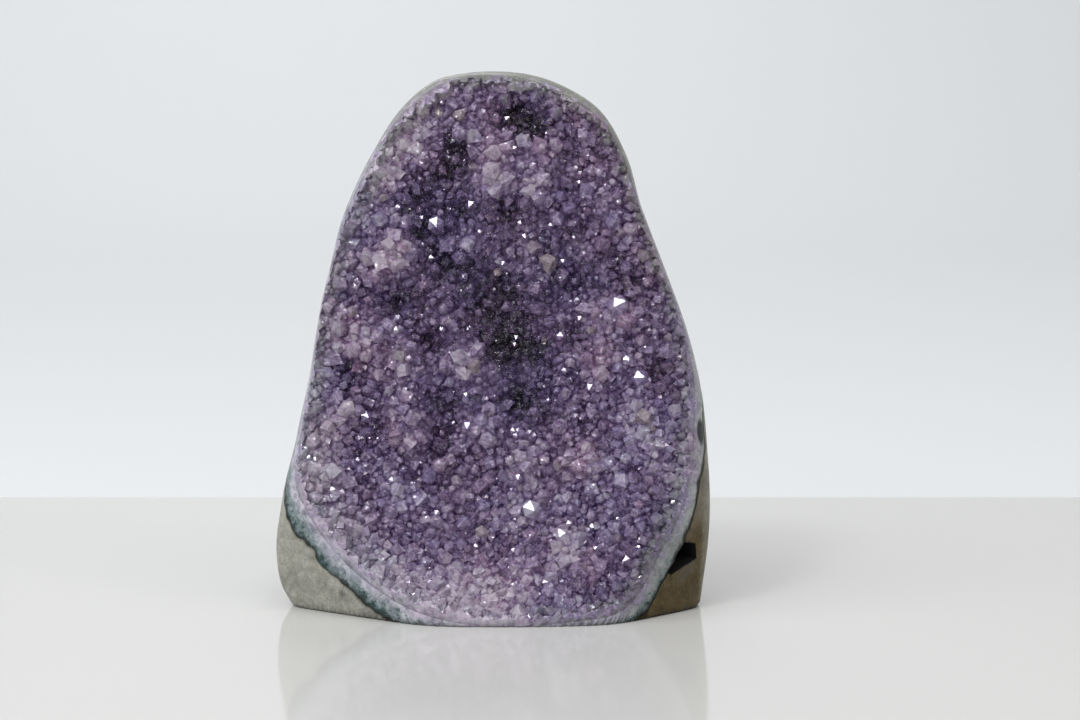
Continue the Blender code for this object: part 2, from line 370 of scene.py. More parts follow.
    def crack_wander(self, points: Array) -> Array:
        """Return how far the crack behind the lining strays from its smooth course.

        Args:
            points: Places, one row each.

        Returns:
            One distance a point, above 0 where the crack runs further back.
        """
        away = (points - np.array(self.notch_place)) / self.notch_reach
        notch = np.exp(-np.sum(away ** 2, axis=1))
        return sum(wave.at(points) for wave in self.crack_waves) - self.notch_depth * notch


# ---- meshes and Booleans


def cube_ball(cells: int) -> tuple[Array, Array]:
    """Make a ball of unit directions from a gridded cube.

    Args:
        cells: Grid cells along each edge of the cube.

    Returns:
        The directions, and the triangles that join them, facing out.
    """
    steps = np.tan(np.linspace(-math.pi / 4, math.pi / 4, cells + 1))
    first, second = (side.ravel() for side in np.meshgrid(steps, steps, indexing="ij"))
    corner = (np.arange(cells)[:, None] * (cells + 1) + np.arange(cells)).ravel()
    quads = np.stack([corner, corner + cells + 1, corner + cells + 2, corner + 1], axis=1)
    points, faces = [], []
    for axis in range(3):
        for side in (-1.0, 1.0):
            faces.append(quads + len(points) * len(first))
            points.append(np.insert(np.stack([first, second], axis=1), axis, side, axis=1))
    whole = np.round(np.concatenate(points), 7)
    shared, index = np.unique(whole, axis=0, return_inverse=True)
    quads = index.reshape(-1)[np.concatenate(faces)]
    triangles = np.concatenate([quads[:, [0, 1, 2]], quads[:, [0, 2, 3]]])
    corners = shared[triangles]
    facing = np.einsum("ij,ij->i", np.cross(corners[:, 1] - corners[:, 0],
                                            corners[:, 2] - corners[:, 0]), corners.sum(axis=1))
    triangles[facing < 0] = triangles[facing < 0][:, ::-1]
    return unit(shared), triangles


def vertex_normals(points: Array, triangles: Array) -> Array:
    """Return the area-weighted normals at a mesh's vertices.

    Args:
        points: Vertices, one row each.
        triangles: Corners of each face.

    Returns:
        One unit normal a vertex.
    """
    corners = points[triangles]
    across = np.cross(corners[:, 1] - corners[:, 0], corners[:, 2] - corners[:, 0])
    normals = np.zeros_like(points)
    for place in range(3):
        np.add.at(normals, triangles[:, place], across)
    return unit(normals)


def mesh_of(
    name: str, points: Array, triangles: Array, source: Array | int = 0
) -> Mesh:
    """Make a mesh whose faces remember what they were cut from.

    Args:
        name: The mesh's name.
        points: Vertices, one row each.
        triangles: Corners of each face.
        source: The "source" attribute of each face, or one number for all.

    Returns:
        The new mesh.
    """
    mesh = bpy.data.meshes.new(name)
    mesh.from_pydata(points.tolist(), [], triangles.tolist())
    sources = np.full(len(triangles), source, np.int32) if np.isscalar(source) else source
    mesh.attributes.new("source", "INT", "FACE").data.foreach_set("value", sources.astype(np.int32))
    return mesh


class Cut(Enum):
    """The Boolean operations, by Blender's names."""

    JOIN = "UNION"
    TAKE_AWAY = "DIFFERENCE"
    KEEP_COMMON = "INTERSECT"


def carved(base: Mesh, steps: list[tuple[Cut, Mesh]]) -> Mesh:
    """Work closed meshes together with Booleans.

    Args:
        base: The mesh to start from.
        steps: What is done to it, in order.

    Returns:
        The finished mesh, its helpers removed.
    """
    solid = put(bpy.data.objects.new(base.name, base))
    helpers = [solid]
    for cut, mesh in steps:
        helper = put(bpy.data.objects.new(mesh.name, mesh))
        helpers.append(helper)
        modifier = solid.modifiers.new(cut.value.lower(), "BOOLEAN")
        modifier.operation = cut.value
        modifier.solver = "MANIFOLD"
        modifier.object = helper
    graph = bpy.context.evaluated_depsgraph_get()
    graph.update()
    result = bpy.data.meshes.new_from_object(solid.evaluated_get(graph), depsgraph=graph)
    for helper in helpers:
        bpy.data.objects.remove(helper)
    if not result.polygons:
        raise RuntimeError(f"the Booleans left nothing of {base.name}")
    return result


def put(obj: Object) -> Object:
    """Put an object in the scene, and return it."""
    bpy.context.scene.collection.objects.link(obj)
    return obj


def fetch(items: bpy.types.bpy_prop_collection, name: str, kind: type, width: int = 1) -> Array:
    """Return one property of all items of a mesh.

    Args:
        items: The mesh's vertices, faces, corners or attribute values.
        name: The property's name.
        kind: The type of its numbers.
        width: How many numbers each item has.

    Returns:
        One number an item, or one row of numbers.
    """
    flat = np.empty(width * len(items), kind)
    items.foreach_get(name, flat)
    return flat if width == 1 else flat.reshape(-1, width).astype(float)


def source_numbers(mesh: Mesh) -> Array:
    """Return the "source" number of every face."""
    return fetch(mesh.attributes["source"].data, "value", np.int32)


def write(mesh: Mesh, name: str, values: Array, domain: str = "POINT") -> None:
    """Store one number for each point or face of a mesh."""
    layer = mesh.attributes.new(name, "FLOAT", domain)
    layer.data.foreach_set("value", values.astype(np.float32))


def places(mesh: Mesh) -> Array:
    """Return a mesh's vertices, one row each."""
    return fetch(mesh.vertices, "co", np.float32, 3)


def centres(mesh: Mesh) -> Array:
    """Return the middles of a mesh's faces, one row each."""
    return fetch(mesh.polygons, "center", np.float32, 3)


def piece(
    name: str, mesh: Mesh, material: Material, node: str
) -> Object:
    """Make a finished mesh one piece of the cluster.

    Args:
        name: The piece's name.
        mesh: Its mesh, in millimetres.
        material: Its finish.
        node: The frame's node that it stands for.

    Returns:
        The piece, in metres, riding on the body.
    """
    low, high = (np.array(corner) / MM for corner in CAD_BOX)
    points = np.clip(places(mesh), low, high)
    mesh.vertices.foreach_set("co", (points * MM).astype(np.float32).ravel())
    mesh.name = name
    mesh.materials.clear()
    mesh.materials.append(material)
    mesh.update()
    obj = put(bpy.data.objects.new(name, mesh))
    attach(obj, "root")
    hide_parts(node)
    mesh.calc_loop_triangles()
    log.info("%s: %d triangles", name, len(mesh.loop_triangles))
    return obj


# ---- shader helpers and groups


@dataclass
class Graph:
    """Adds nodes to one shader tree and joins them."""

    tree: Tree

    def node(self, kind: str, **settings: object) -> Node:
        """Add a node with its settings.

        Args:
            kind: The node's type, by Blender's name.
            settings: Its properties.

        Returns:
            The new node.
        """
        made = self.tree.nodes.new(kind)
        for name, value in settings.items():
            setattr(made, name, value)
        return made

    def feed(self, socket: Socket, value: object) -> None:
        """Link a socket to an input, or set the input to a number or a colour.

        Args:
            socket: The input.
            value: Another node's output, a number or a colour.
        """
        if isinstance(value, Socket):
            self.tree.links.new(value, socket)
        elif socket.type == "RGBA":
            socket.default_value = (*value, 1.0)
        else:
            socket.default_value = value

    def fill(self, node: Node, values: dict[str | int, object]) -> Node:
        """Feed several inputs of a node, by name or number, and return the node.

        Args:
            node: The node.
            values: What each input gets.

        Returns:
            The same node.
        """
        for key, value in values.items():
            self.feed(node.inputs[key], value)
        return node

    def math(
        self, operation: str, first: object, second: object, clamp: bool = False
    ) -> Socket:
        """Return the result of one sum, kept from 0 to 1 where clamp says so."""
        made = self.node("ShaderNodeMath", operation=operation, use_clamp=clamp)
        return self.fill(made, {0: first, 1: second}).outputs[0]

    def vector(self, operation: str, first: object, second: object) -> Node:
        """Add one sum of vectors."""
        return self.fill(self.node("ShaderNodeVectorMath", operation=operation), {0: first, 1: second})

    def blend(
        self, share: object, first: object, second: object, kind: str = "MIX"
    ) -> Socket:
        """Return the first colour with a share of the second over it, blended in Blender's kind."""
        made = self.node("ShaderNodeMix", data_type="RGBA", blend_type=kind)
        return self.fill(made, {"Factor": share, 6: first, 7: second}).outputs[2]

    def range(
        self, value: object, low: object, high: object, first: object = 0.0, last: object = 1.0
    ) -> Socket:
        """Return value mapped smoothly from low..high to first..last.

        Args:
            value: What is mapped.
            low: Value that gives first.
            high: Value that gives last.
            first: Lower end of the result.
            last: Upper end of the result.

        Returns:
            The output with the result.
        """
        made = self.node("ShaderNodeMapRange", interpolation_type="SMOOTHSTEP")
        limits = {"From Min": low, "From Max": high, "To Min": first, "To Max": last}
        return self.fill(made, {"Value": value, **limits}).outputs["Result"]

    def noise(
        self, scale: object, detail: float, roughness: float = 0.5, distortion: float = 0.0
    ) -> Socket:
        """Return noise, 0 to 1, that sits on the object.

        Args:
            scale: Waves a metre, or the output that gives them.
            detail: How many finer layers are added.
            roughness: How strong the finer layers are.
            distortion: How far the noise is warped.

        Returns:
            The output with the noise.
        """
        place = self.node("ShaderNodeTexCoord").outputs["Object"]
        grain = {"Scale": scale, "Detail": detail, "Roughness": roughness, "Distortion": distortion}
        return self.fill(self.node("ShaderNodeTexNoise"), {"Vector": place, **grain}).outputs[0]

    def ramp(self, value: object, stops: tuple[tuple[float, Colour], ...]) -> Socket:
        """Return a colour read from stops along a ramp.

        Args:
            value: Place along the ramp, 0 to 1.
            stops: Place and colour of each stop.

        Returns:
            The output with the colour.
        """
        made = self.node("ShaderNodeValToRGB")
        elements = made.color_ramp.elements
        while len(elements) < len(stops):
            elements.new(1.0)
        for element, (position, colour) in zip(elements, stops):
            element.position = position
            element.color = (*colour, 1.0)
        self.feed(made.inputs["Fac"], value)
        return made.outputs["Color"]

    def attribute(self, name: str) -> Socket:
        """Return a number stored on the mesh."""
        return self.node("ShaderNodeAttribute", attribute_name=name).outputs["Fac"]

    def group(self, tree: Tree, **values: object) -> Node:
        """Place a node group with its values, given by input name."""
        made = self.node("ShaderNodeGroup", node_tree=tree)
        return self.fill(made, {name.title(): value for name, value in values.items()})

    def bump(self, height: object, distance: float, strength: float = 1.0) -> Socket:
        """Return the normal bent by a height, whose full rise is distance in metres."""
        values = {"Strength": strength, "Distance": distance, "Height": height}
        return self.fill(self.node("ShaderNodeBump"), values).outputs["Normal"]


def new_group(
    name: str, inputs: dict[str, str], outputs: dict[str, str]
) -> tuple[Graph, Sockets, Sockets]:
    """Start a shader node group.

    Args:
        name: The group's name.
        inputs: Socket type of each input, by name.
        outputs: Socket type of each output, by name.

    Returns:
        A graph to add nodes with, the sockets that give the group's inputs, and those that take
        its outputs.
    """
    tree = bpy.data.node_groups.new(name, "ShaderNodeTree")
    for direction, sockets in (("INPUT", inputs), ("OUTPUT", outputs)):
        for socket, kind in sockets.items():
            tree.interface.new_socket(name=socket, in_out=direction, socket_type=f"NodeSocket{kind}")
    graph = Graph(tree)
    return graph, graph.node("NodeGroupInput").outputs, graph.node("NodeGroupOutput").inputs


def floats(*names: str) -> dict[str, str]:
    """Return the plain numbers among a group's sockets, for new_group."""
    return dict.fromkeys(names, "Float")


def layer_mask_group() -> Tree:
    """Build the mask of a mineral layer whose edge wanders.

    Returns:
        The group: it takes the place across the band, 0 at the crystals and 1 at the basalt,
        and gives a mask.
    """
    inputs = floats("Depth", "Start", "End", "Wander", "Scale")
    graph, given, out = new_group("layer_mask", inputs, floats("Mask"))
    drift = graph.math("SUBTRACT", graph.noise(given["Scale"], 4.0, 0.6), 0.5)
    moved = graph.math("MULTIPLY", drift, graph.math("MULTIPLY", given["Wander"], 2.0))
    depth = graph.math("ADD", given["Depth"], moved)
    graph.feed(out["Mask"], graph.range(depth, given["Start"], given["End"]))
    return graph.tree


def mineral_grain_group() -> Tree:
    """Build the speckle of a fine-grained mineral.

    Returns:
        The group: it takes two colours, a scale and a contrast, and gives a colour and a height.
    """
    inputs = {"Dark": "Color", "Light": "Color", **floats("Scale", "Contrast")}
    outputs = {"Color": "Color", **floats("Height")}
    graph, given, out = new_group("mineral_grain", inputs, outputs)
    coarse = graph.noise(given["Scale"], 6.0, 0.7)
    fine = graph.noise(graph.math("MULTIPLY", given["Scale"], 5.3), 3.0, 0.75)
    mixed = graph.math("ADD", graph.math("MULTIPLY", coarse, 0.55), graph.math("MULTIPLY", fine, 0.45))
    centred = graph.math("MULTIPLY", graph.math("SUBTRACT", mixed, 0.5), given["Contrast"])
    share = graph.math("ADD", centred, 0.5, clamp=True)
    graph.feed(out["Color"], graph.blend(share, given["Dark"], given["Light"]))
    graph.feed(out["Height"], share)
    return graph.tree


def surface_gloss_group() -> Tree:
    """Build the roughness of a worn or grown surface, which varies from place to place.

    Returns:
        The group: it takes a low and a high roughness and a scale, and gives a roughness.
    """
    inputs = floats("Low", "High", "Scale")
    graph, given, out = new_group("surface_gloss", inputs, floats("Roughness"))
    wear = graph.noise(given["Scale"], 4.0, 0.6)
    rough = graph.range(wear, 0.32, 0.68, given["Low"], given["High"])
    graph.feed(out["Roughness"], rough)
    return graph.tree


def facet_mosaic_group() -> Tree:
    """Build a mosaic of small flat facets, each tilted its own way.

    Returns:
        The group: it takes a scale and a tilt, and gives a value for each facet and a height.
    """
    inputs = floats("Scale", "Tilt")
    graph, given, out = new_group("facet_mosaic", inputs, floats("Value", "Height"))
    place = graph.node("ShaderNodeTexCoord").outputs["Object"]
    cells = graph.node("ShaderNodeTexVoronoi", feature="F1")
    graph.fill(cells, {"Vector": place, "Scale": given["Scale"]})
    own = graph.vector("SUBTRACT", cells.outputs["Color"], (0.5, 0.5, 0.5)).outputs["Vector"]
    from_middle = graph.vector("SUBTRACT", place, cells.outputs["Position"]).outputs["Vector"]
    slope = graph.vector("DOT_PRODUCT", own, from_middle)
    split = graph.node("ShaderNodeSeparateColor")
    graph.feed(split.inputs["Color"], cells.outputs["Color"])
    graph.feed(out["Value"], split.outputs["Red"])
    graph.feed(out["Height"], graph.math("MULTIPLY", slope.outputs["Value"], given["Tilt"]))
    return graph.tree


@dataclass(frozen=True)
class Patches:
    """Soft-edged patches cut out of noise, and how strong they are outside and inside."""

    scale: float
    detail: float
    grain: float
    warp: float
    cut: Pair
    strength: Pair

    def mask(self, graph: Graph) -> Socket:
        """Return the strength of the patches from place to place."""
        cloud = graph.noise(self.scale, self.detail, self.grain, self.warp)
        return graph.range(cloud, *self.cut, *self.strength)


@dataclass(frozen=True)
class LayerEdge:
    """Where a mineral layer sets in across the band, and how its edge wanders."""

    start: float
    end: float
    wander: float
    scale: float

    def mask(self, graph: Graph, group: Tree, depth: object) -> Socket:
        """Return 0 before the layer's edge and 1 behind it, from the layer_mask group."""
        return graph.group(group, depth=depth, **asdict(self)).outputs["Mask"]


@dataclass(frozen=True)
class Gloss:
    """The least and the most roughness of a surface, and how finely it changes."""

    low: float
    high: float
    scale: float

    def roughness(self, graph: Graph, effects: "Effects") -> Socket:
        """Return the roughness, from the surface_gloss group."""
        return graph.group(effects.surface_gloss, **asdict(self)).outputs["Roughness"]


@dataclass(frozen=True)
class Facets:
    """One size of the small facets in the crystals, for the facet_mosaic group."""

    scale: float
    tilt: float

    def output(self, graph: Graph, group: Tree, name: str) -> Socket:
        """Return the facets' "Value" or "Height"."""
        return graph.group(group, **asdict(self)).outputs[name]


COARSE_FACETS = Facets(850.0, 0.55)
FINE_FACETS = Facets(2000.0, 0.45)

VIOLET = (
    (0.0, (0.012, 0.010, 0.020)),
    (0.25, (0.050, 0.038, 0.082)),
    (0.5, (0.170, 0.118, 0.280)),
    (0.75, (0.43, 0.33, 0.60)),
    (1.0, (0.80, 0.74, 0.90)),
)
ROSE = (
    (0.0, (0.022, 0.011, 0.020)),
    (0.25, (0.082, 0.044, 0.072)),
    (0.5, (0.262, 0.138, 0.255)),
    (0.75, (0.61, 0.375, 0.58)),
    (1.0, (0.92, 0.76, 0.88)),
)


def crystal_tint_group(mosaic: Tree) -> Tree:
    """Build the colour of amethyst, which changes from facet to facet and inside them.

    Args:
        mosaic: The facet_mosaic group.

    Returns:
        The group: it takes a tone, a rose share and a contrast, and gives a colour.
    """
    inputs = floats("Tone", "Rose", "Contrast")
    graph, given, out = new_group("crystal_tint", inputs, {"Color": "Color"})
    coarse = graph.math("SUBTRACT", COARSE_FACETS.output(graph, mosaic, "Value"), 0.5)
    fine = graph.math("SUBTRACT", FINE_FACETS.output(graph, mosaic, "Value"), 0.5)
    cloud = graph.math("SUBTRACT", graph.noise(450.0, 4.0, 0.7, 0.5), 0.5)
    drift = graph.math("ADD", graph.math("MULTIPLY", coarse, 0.15), graph.math("MULTIPLY", fine, 0.13))
    drift = graph.math("MULTIPLY", graph.math("ADD", drift, cloud), given["Contrast"])
    tone = graph.math("ADD", given["Tone"], drift, clamp=True)
    colour = graph.blend(given["Rose"], graph.ramp(tone, VIOLET), graph.ramp(tone, ROSE))
    graph.feed(out["Color"], colour)
    return graph.tree


@dataclass(frozen=True)
class CutFaceLook:
    """Colours of the polished cut, from the crystals through pale agate to dark moss."""

    lavender: Colour = (0.37, 0.38, 0.48)
    rose: Colour = (0.56, 0.44, 0.56)
    teal: Colour = (0.25, 0.30, 0.31)
    cloud: Colour = (0.60, 0.60, 0.64)
    shadow: Colour = (0.12, 0.125, 0.165)
    stone_dark: Colour = (0.10, 0.105, 0.085)
    stone_light: Colour = (0.38, 0.39, 0.345)
    haze: Colour = (0.085, 0.145, 0.145)
    fleck: Colour = (0.018, 0.050, 0.046)
    teal_edge: LayerEdge = LayerEdge(0.1, 0.8, 0.7, 200.0)
    crystal_edge: LayerEdge = LayerEdge(-0.7, 0.35, 1.3, 280.0)
    haze_edge: LayerEdge = LayerEdge(0.25, 1.10, 0.9, 330.0)
    fleck_edge: LayerEdge = LayerEdge(0.62, 1.15, 1.5, 560.0)
    clouds: Patches = Patches(210.0, 6.0, 0.74, 1.4, (0.44, 0.60), (0.0, 0.85))
    shadows: Patches = Patches(380.0, 6.0, 0.78, 0.4, (0.47, 0.66), (0.0, 0.85))
    contrast: float = 1.6
    veil: float = 0.22

    def group(self, tint: Tree, mask: Tree) -> Tree:
        """Build the look as a node group.

        Args:
            tint: The crystal_tint group.
            mask: The layer_mask group.

        Returns:
            The group: it takes the stored band, moss, dull, tone and rose, and gives the colour
            of the cut and the colour of its agate alone.
        """
        names = ("Band", "Moss", "Dull", "Tone", "Rose")
        outputs = {"Color": "Color", "Agate": "Color"}
        graph, given, out = new_group("cut_face", floats(*names), outputs)
        band, moss, dull, tone, rose = (given[name] for name in names)
        inner = graph.blend(rose, self.lavender, self.rose)
        colour = graph.blend(self.teal_edge.mask(graph, mask, band), inner, self.teal)
        colour = graph.blend(self.clouds.mask(graph), colour, self.cloud)
        colour = graph.blend(self.shadows.mask(graph), colour, self.shadow)
        stone = graph.blend(graph.noise(300.0, 5.0, 0.7), self.stone_dark, self.stone_light)
        colour = graph.blend(dull, colour, stone)
        graph.feed(out["Agate"], colour)
        crystals = graph.group(tint, tone=tone, rose=rose, contrast=self.contrast)
        veiled = graph.blend(self.veil, crystals.outputs["Color"], colour)
        colour = graph.blend(self.crystal_edge.mask(graph, mask, band), veiled, colour)
        for edge, shade in ((self.haze_edge, self.haze), (self.fleck_edge, self.fleck)):
            share = graph.math("MULTIPLY", edge.mask(graph, mask, band), moss)
            colour = graph.blend(share, colour, shade)
        graph.feed(out["Color"], colour)
        return graph.tree


@dataclass
class Effects:
    """The node groups that several finishes share, each built once."""

    layer_mask: Tree = field(default_factory=layer_mask_group)
    mineral_grain: Tree = field(default_factory=mineral_grain_group)
    surface_gloss: Tree = field(default_factory=surface_gloss_group)
    facet_mosaic: Tree = field(default_factory=facet_mosaic_group)

    def __post_init__(self) -> None:
        """Build the groups that use other groups."""
        self.crystal_tint = crystal_tint_group(self.facet_mosaic)
        self.cut_face = CutFaceLook().group(self.crystal_tint, self.layer_mask)


# ---- finishes


CUT_ATTRIBUTES = ("tone", "rose", "band", "moss", "dull")


@dataclass(frozen=True)
class Finish:
    """A named finish, made into a material on demand."""

    name: str

    def material(self, effects: Effects) -> Material:
        """Make the material.

        Args:
            effects: The shared node groups.

        Returns:
            The material.
        """
        material = bpy.data.materials.new(self.name)
        material.use_nodes = True
        graph = Graph(material.node_tree)
        values = self.values(graph, effects)
        graph.fill(material.node_tree.nodes["Principled BSDF"], values)
        return material

    def values(self, graph: Graph, effects: Effects) -> dict[str, object]:
        """Return a number, a colour or a node's output for each input of the Principled shader."""
        raise NotImplementedError


@dataclass(frozen=True)
class CrystalFinish(Finish):
    """See-through amethyst, from near black to pale lilac, with tips painted lighter and recesses painted
    darker as light and shade.
    """

    name: str = "amethyst_crystal"
    cream: Colour = (0.56, 0.46, 0.38)
    veil: Colour = (0.66, 0.56, 0.78)
    # painted highlight: the near-white colour of tiny glints laid on the crystals
    spark: Colour = (0.88, 0.87, 0.95)
    lighten: float = 0.4
    # painted light and shade: how much the tone rises on tips and falls in recesses, a millimetre of rise
    lift_tone: float = 0.065
    veils: Patches = Patches(650.0, 5.0, 0.7, 1.2, (0.60, 0.80), (0.0, 0.35))
    # painted highlights: where tiny glints are painted, cut out of fine noise
    sparks: Patches = Patches(2300.0, 2.0, 0.6, 0.0, (0.655, 0.70), (0.0, 0.85))
    fade_patches: Patches = Patches(240.0, 5.0, 0.7, 0.8, (0.36, 0.58), (0.35, 1.0))
    gloss: Gloss = Gloss(0.05, 0.22, 700.0)
    polish: float = 0.6
    transmission: float = 0.52
    ior: float = 1.544
    specular: float = 0.7
    absorption: Colour = (0.66, 0.55, 0.82)
    density: float = 110.0

    def values(self, graph: Graph, effects: Effects) -> dict[str, object]:
        """Return the shader's inputs, and tint the inside by absorption.

        Args:
            graph: The material's nodes.
            effects: The shared node groups.

        Returns:
            What each input gets, by name.
        """
        stored = {name: graph.attribute(name) for name in CUT_ATTRIBUTES}
        # painted light and shade: tips above their neighbours made lighter, recesses below them darker
        tip_light_and_recess_shade = graph.math("MULTIPLY", graph.attribute("rise"), self.lift_tone)
        tone = graph.math("ADD", stored["tone"], tip_light_and_recess_shade)
        tint = graph.group(effects.crystal_tint, tone=tone, rose=stored["rose"], contrast=1.0)
        colour = graph.blend(graph.attribute("cream"), tint.outputs["Color"], self.cream)
        colour = graph.blend(graph.math("MULTIPLY", self.veils.mask(graph), tone), colour, self.veil)
        # painted highlights: tiny near-white glints mixed into the crystal colour
        colour = graph.blend(self.sparks.mask(graph), colour, self.spark)
        cut = graph.group(effects.cut_face, **stored)
        faded = graph.math("MULTIPLY", graph.attribute("fade"), self.fade_patches.mask(graph))
        pale = graph.blend(self.lighten, cut.outputs["Agate"], cut.outputs["Agate"], "ADD")
        colour = graph.blend(faded, colour, pale)
        face = graph.blend(self.lighten, cut.outputs["Color"], cut.outputs["Color"], "ADD")
        colour = graph.blend(graph.attribute("polished"), colour, face)
        coarse = COARSE_FACETS.output(graph, effects.facet_mosaic, "Height")
        fine = FINE_FACETS.output(graph, effects.facet_mosaic, "Height")
        height = graph.math("ADD", coarse, fine)
        smooth = graph.math("MULTIPLY", graph.attribute("polished"), self.polish)
        flat = graph.math("MAXIMUM", graph.attribute("clean"), smooth)
        height = graph.math("MULTIPLY", height, graph.math("SUBTRACT", 1.0, flat))
        medium = graph.node("ShaderNodeVolumeAbsorption")
        graph.fill(medium, {"Color": self.absorption, "Density": self.density})
        graph.feed(graph.tree.nodes["Material Output"].inputs["Volume"], medium.outputs["Volume"])
        return {
            "Base Color": colour,
            "Roughness": self.gloss.roughness(graph, effects),
            "Normal": graph.bump(height, 1.0),
            "Metallic": 0.0,
            "IOR": self.ior,
            "Specular IOR Level": self.specular,
            "Transmission Weight": self.transmission,
        }


@dataclass(frozen=True)
class AgateFinish(Finish):
    """Polished pale agate, with dark green moss along its outer edge."""

    name: str = "banded_agate"
    # painted shade: near black along the crack, round the pit and as a contact shadow at the foot
    crack: Colour = (0.012, 0.016, 0.014)
    gloss: Gloss = Gloss(0.12, 0.3, 300.0)
    ripple: float = 0.00005
    ripple_scale: float = 600.0
    specular: float = 0.35
    depth_share: float = 0.25
    depth_reach: float = 0.0012

    def values(self, graph: Graph, effects: Effects) -> dict[str, object]:
        """Return the shader's inputs.

        Args:
            graph: The material's nodes.
            effects: The shared node groups.

        Returns:
            What each input gets, by name.
        """
        cut = graph.group(effects.cut_face, **{name: graph.attribute(name) for name in CUT_ATTRIBUTES})
        ripples = graph.noise(self.ripple_scale, 4.0)
        return {
            # painted shade: the stored edge share turns the cut near black
            "Base Color": graph.blend(graph.attribute("edge"), cut.outputs["Color"], self.crack),
            "Roughness": self.gloss.roughness(graph, effects),
            "Normal": graph.bump(ripples, self.ripple, 0.5),
            "Specular IOR Level": self.specular,
            "Subsurface Weight": self.depth_share,
            "Subsurface Radius": (1.0, 1.0, 1.0),
            "Subsurface Scale": self.depth_reach,
        }


@dataclass(frozen=True)
class BasaltFinish(Finish):
    """Basalt: smooth and grey where it is polished, weathered and rough at the back."""

    name: str = "basalt_stone"
    grey_dark: Colour = (0.165, 0.160, 0.130)
    grey_light: Colour = (0.50, 0.495, 0.435)
    stain: Colour = (0.105, 0.108, 0.088)
    olive_dark: Colour = (0.028, 0.019, 0.007)
    olive_light: Colour = (0.150, 0.104, 0.038)
    crust_dark: Colour = (0.05, 0.052, 0.042)
    crust_light: Colour = (0.20, 0.185, 0.145)
    rust: Colour = (0.19, 0.105, 0.05)
    soot: Colour = (0.085, 0.088, 0.082)
    # painted shade: near black for the crack, the gas bubbles' insides and the contact shadow along the
    # foot
    black: Colour = (0.010, 0.011, 0.010)
    stains: Patches = Patches(95.0, 6.0, 0.68, 0.7, (0.47, 0.70), (0.0, 0.6))
    rusty: Patches = Patches(60.0, 6.0, 0.65, 0.6, (0.55, 0.75), (0.0, 0.6))
    grain: Pair = (330.0, 2.6)
    crust_grain: Pair = (150.0, 3.2)
    polish: Gloss = Gloss(0.30, 0.52, 260.0)
    rough: Gloss = Gloss(0.68, 0.95, 200.0)
    grain_height: float = 0.0012
    polished_grain: float = 0.08
    specular: float = 0.22

    @staticmethod
    def mineral(
        graph: Graph, effects: Effects, dark: Colour, light: Colour, grain: Pair
    ) -> Node:
        """Place the mineral_grain group, its grain given as scale and contrast."""
        return graph.group(effects.mineral_grain, dark=dark, light=light, scale=grain[0], contrast=grain[1])

    def values(self, graph: Graph, effects: Effects) -> dict[str, object]:
        """Return the shader's inputs.

        Args:
            graph: The material's nodes.
            effects: The shared node groups.

        Returns:
            What each input gets, by name.
        """
        weathered = graph.attribute("weathered")
        grey = self.mineral(graph, effects, self.grey_dark, self.grey_light, self.grain)
        olive = self.mineral(graph, effects, self.olive_dark, self.olive_light, self.grain)
        crust = self.mineral(graph, effects, self.crust_dark, self.crust_light, self.crust_grain)
        colour = graph.blend(graph.attribute("olive"), grey.outputs["Color"], olive.outputs["Color"])
        colour = graph.blend(self.stains.mask(graph), colour, self.stain)
        colour = graph.blend(graph.attribute("smooth_patch"), colour, self.soot)
        # painted shade: crack, gas bubbles' insides and the foot's contact shadow turned near black
        colour = graph.blend(graph.attribute("painted_shade"), colour, self.black)
        colour = graph.blend(weathered, colour, crust.outputs["Color"])
        rust = graph.math("MULTIPLY", self.rusty.mask(graph), weathered)
        colour = graph.blend(rust, colour, self.rust)
        polish = self.polish.roughness(graph, effects)
        rough = self.rough.roughness(graph, effects)
        roughness = graph.node("ShaderNodeMix", data_type="FLOAT")
        graph.fill(roughness, {0: weathered, 2: polish, 3: rough})
        share = graph.math("ADD", weathered, self.polished_grain)
        height = graph.math("MULTIPLY", crust.outputs["Height"], share)
        return {
            "Base Color": colour,
            # the painted shade is made fully rough as well
            "Roughness": graph.math("MAXIMUM", roughness.outputs[0], graph.attribute("painted_shade")),
            "Specular IOR Level": self.specular,
            "Normal": graph.bump(height, self.grain_height, 0.8),
        }


@dataclass(frozen=True)
class PlainFinish(Finish):
    """A plain pale surface of the room: the glossy table or the matt backdrop."""

    colour: Colour
    gloss: Gloss

    def values(self, graph: Graph, effects: Effects) -> dict[str, object]:
        """Return the shader's inputs."""
        return {"Base Color": self.colour, "Roughness": self.gloss.roughness(graph, effects)}


# ---- the basalt


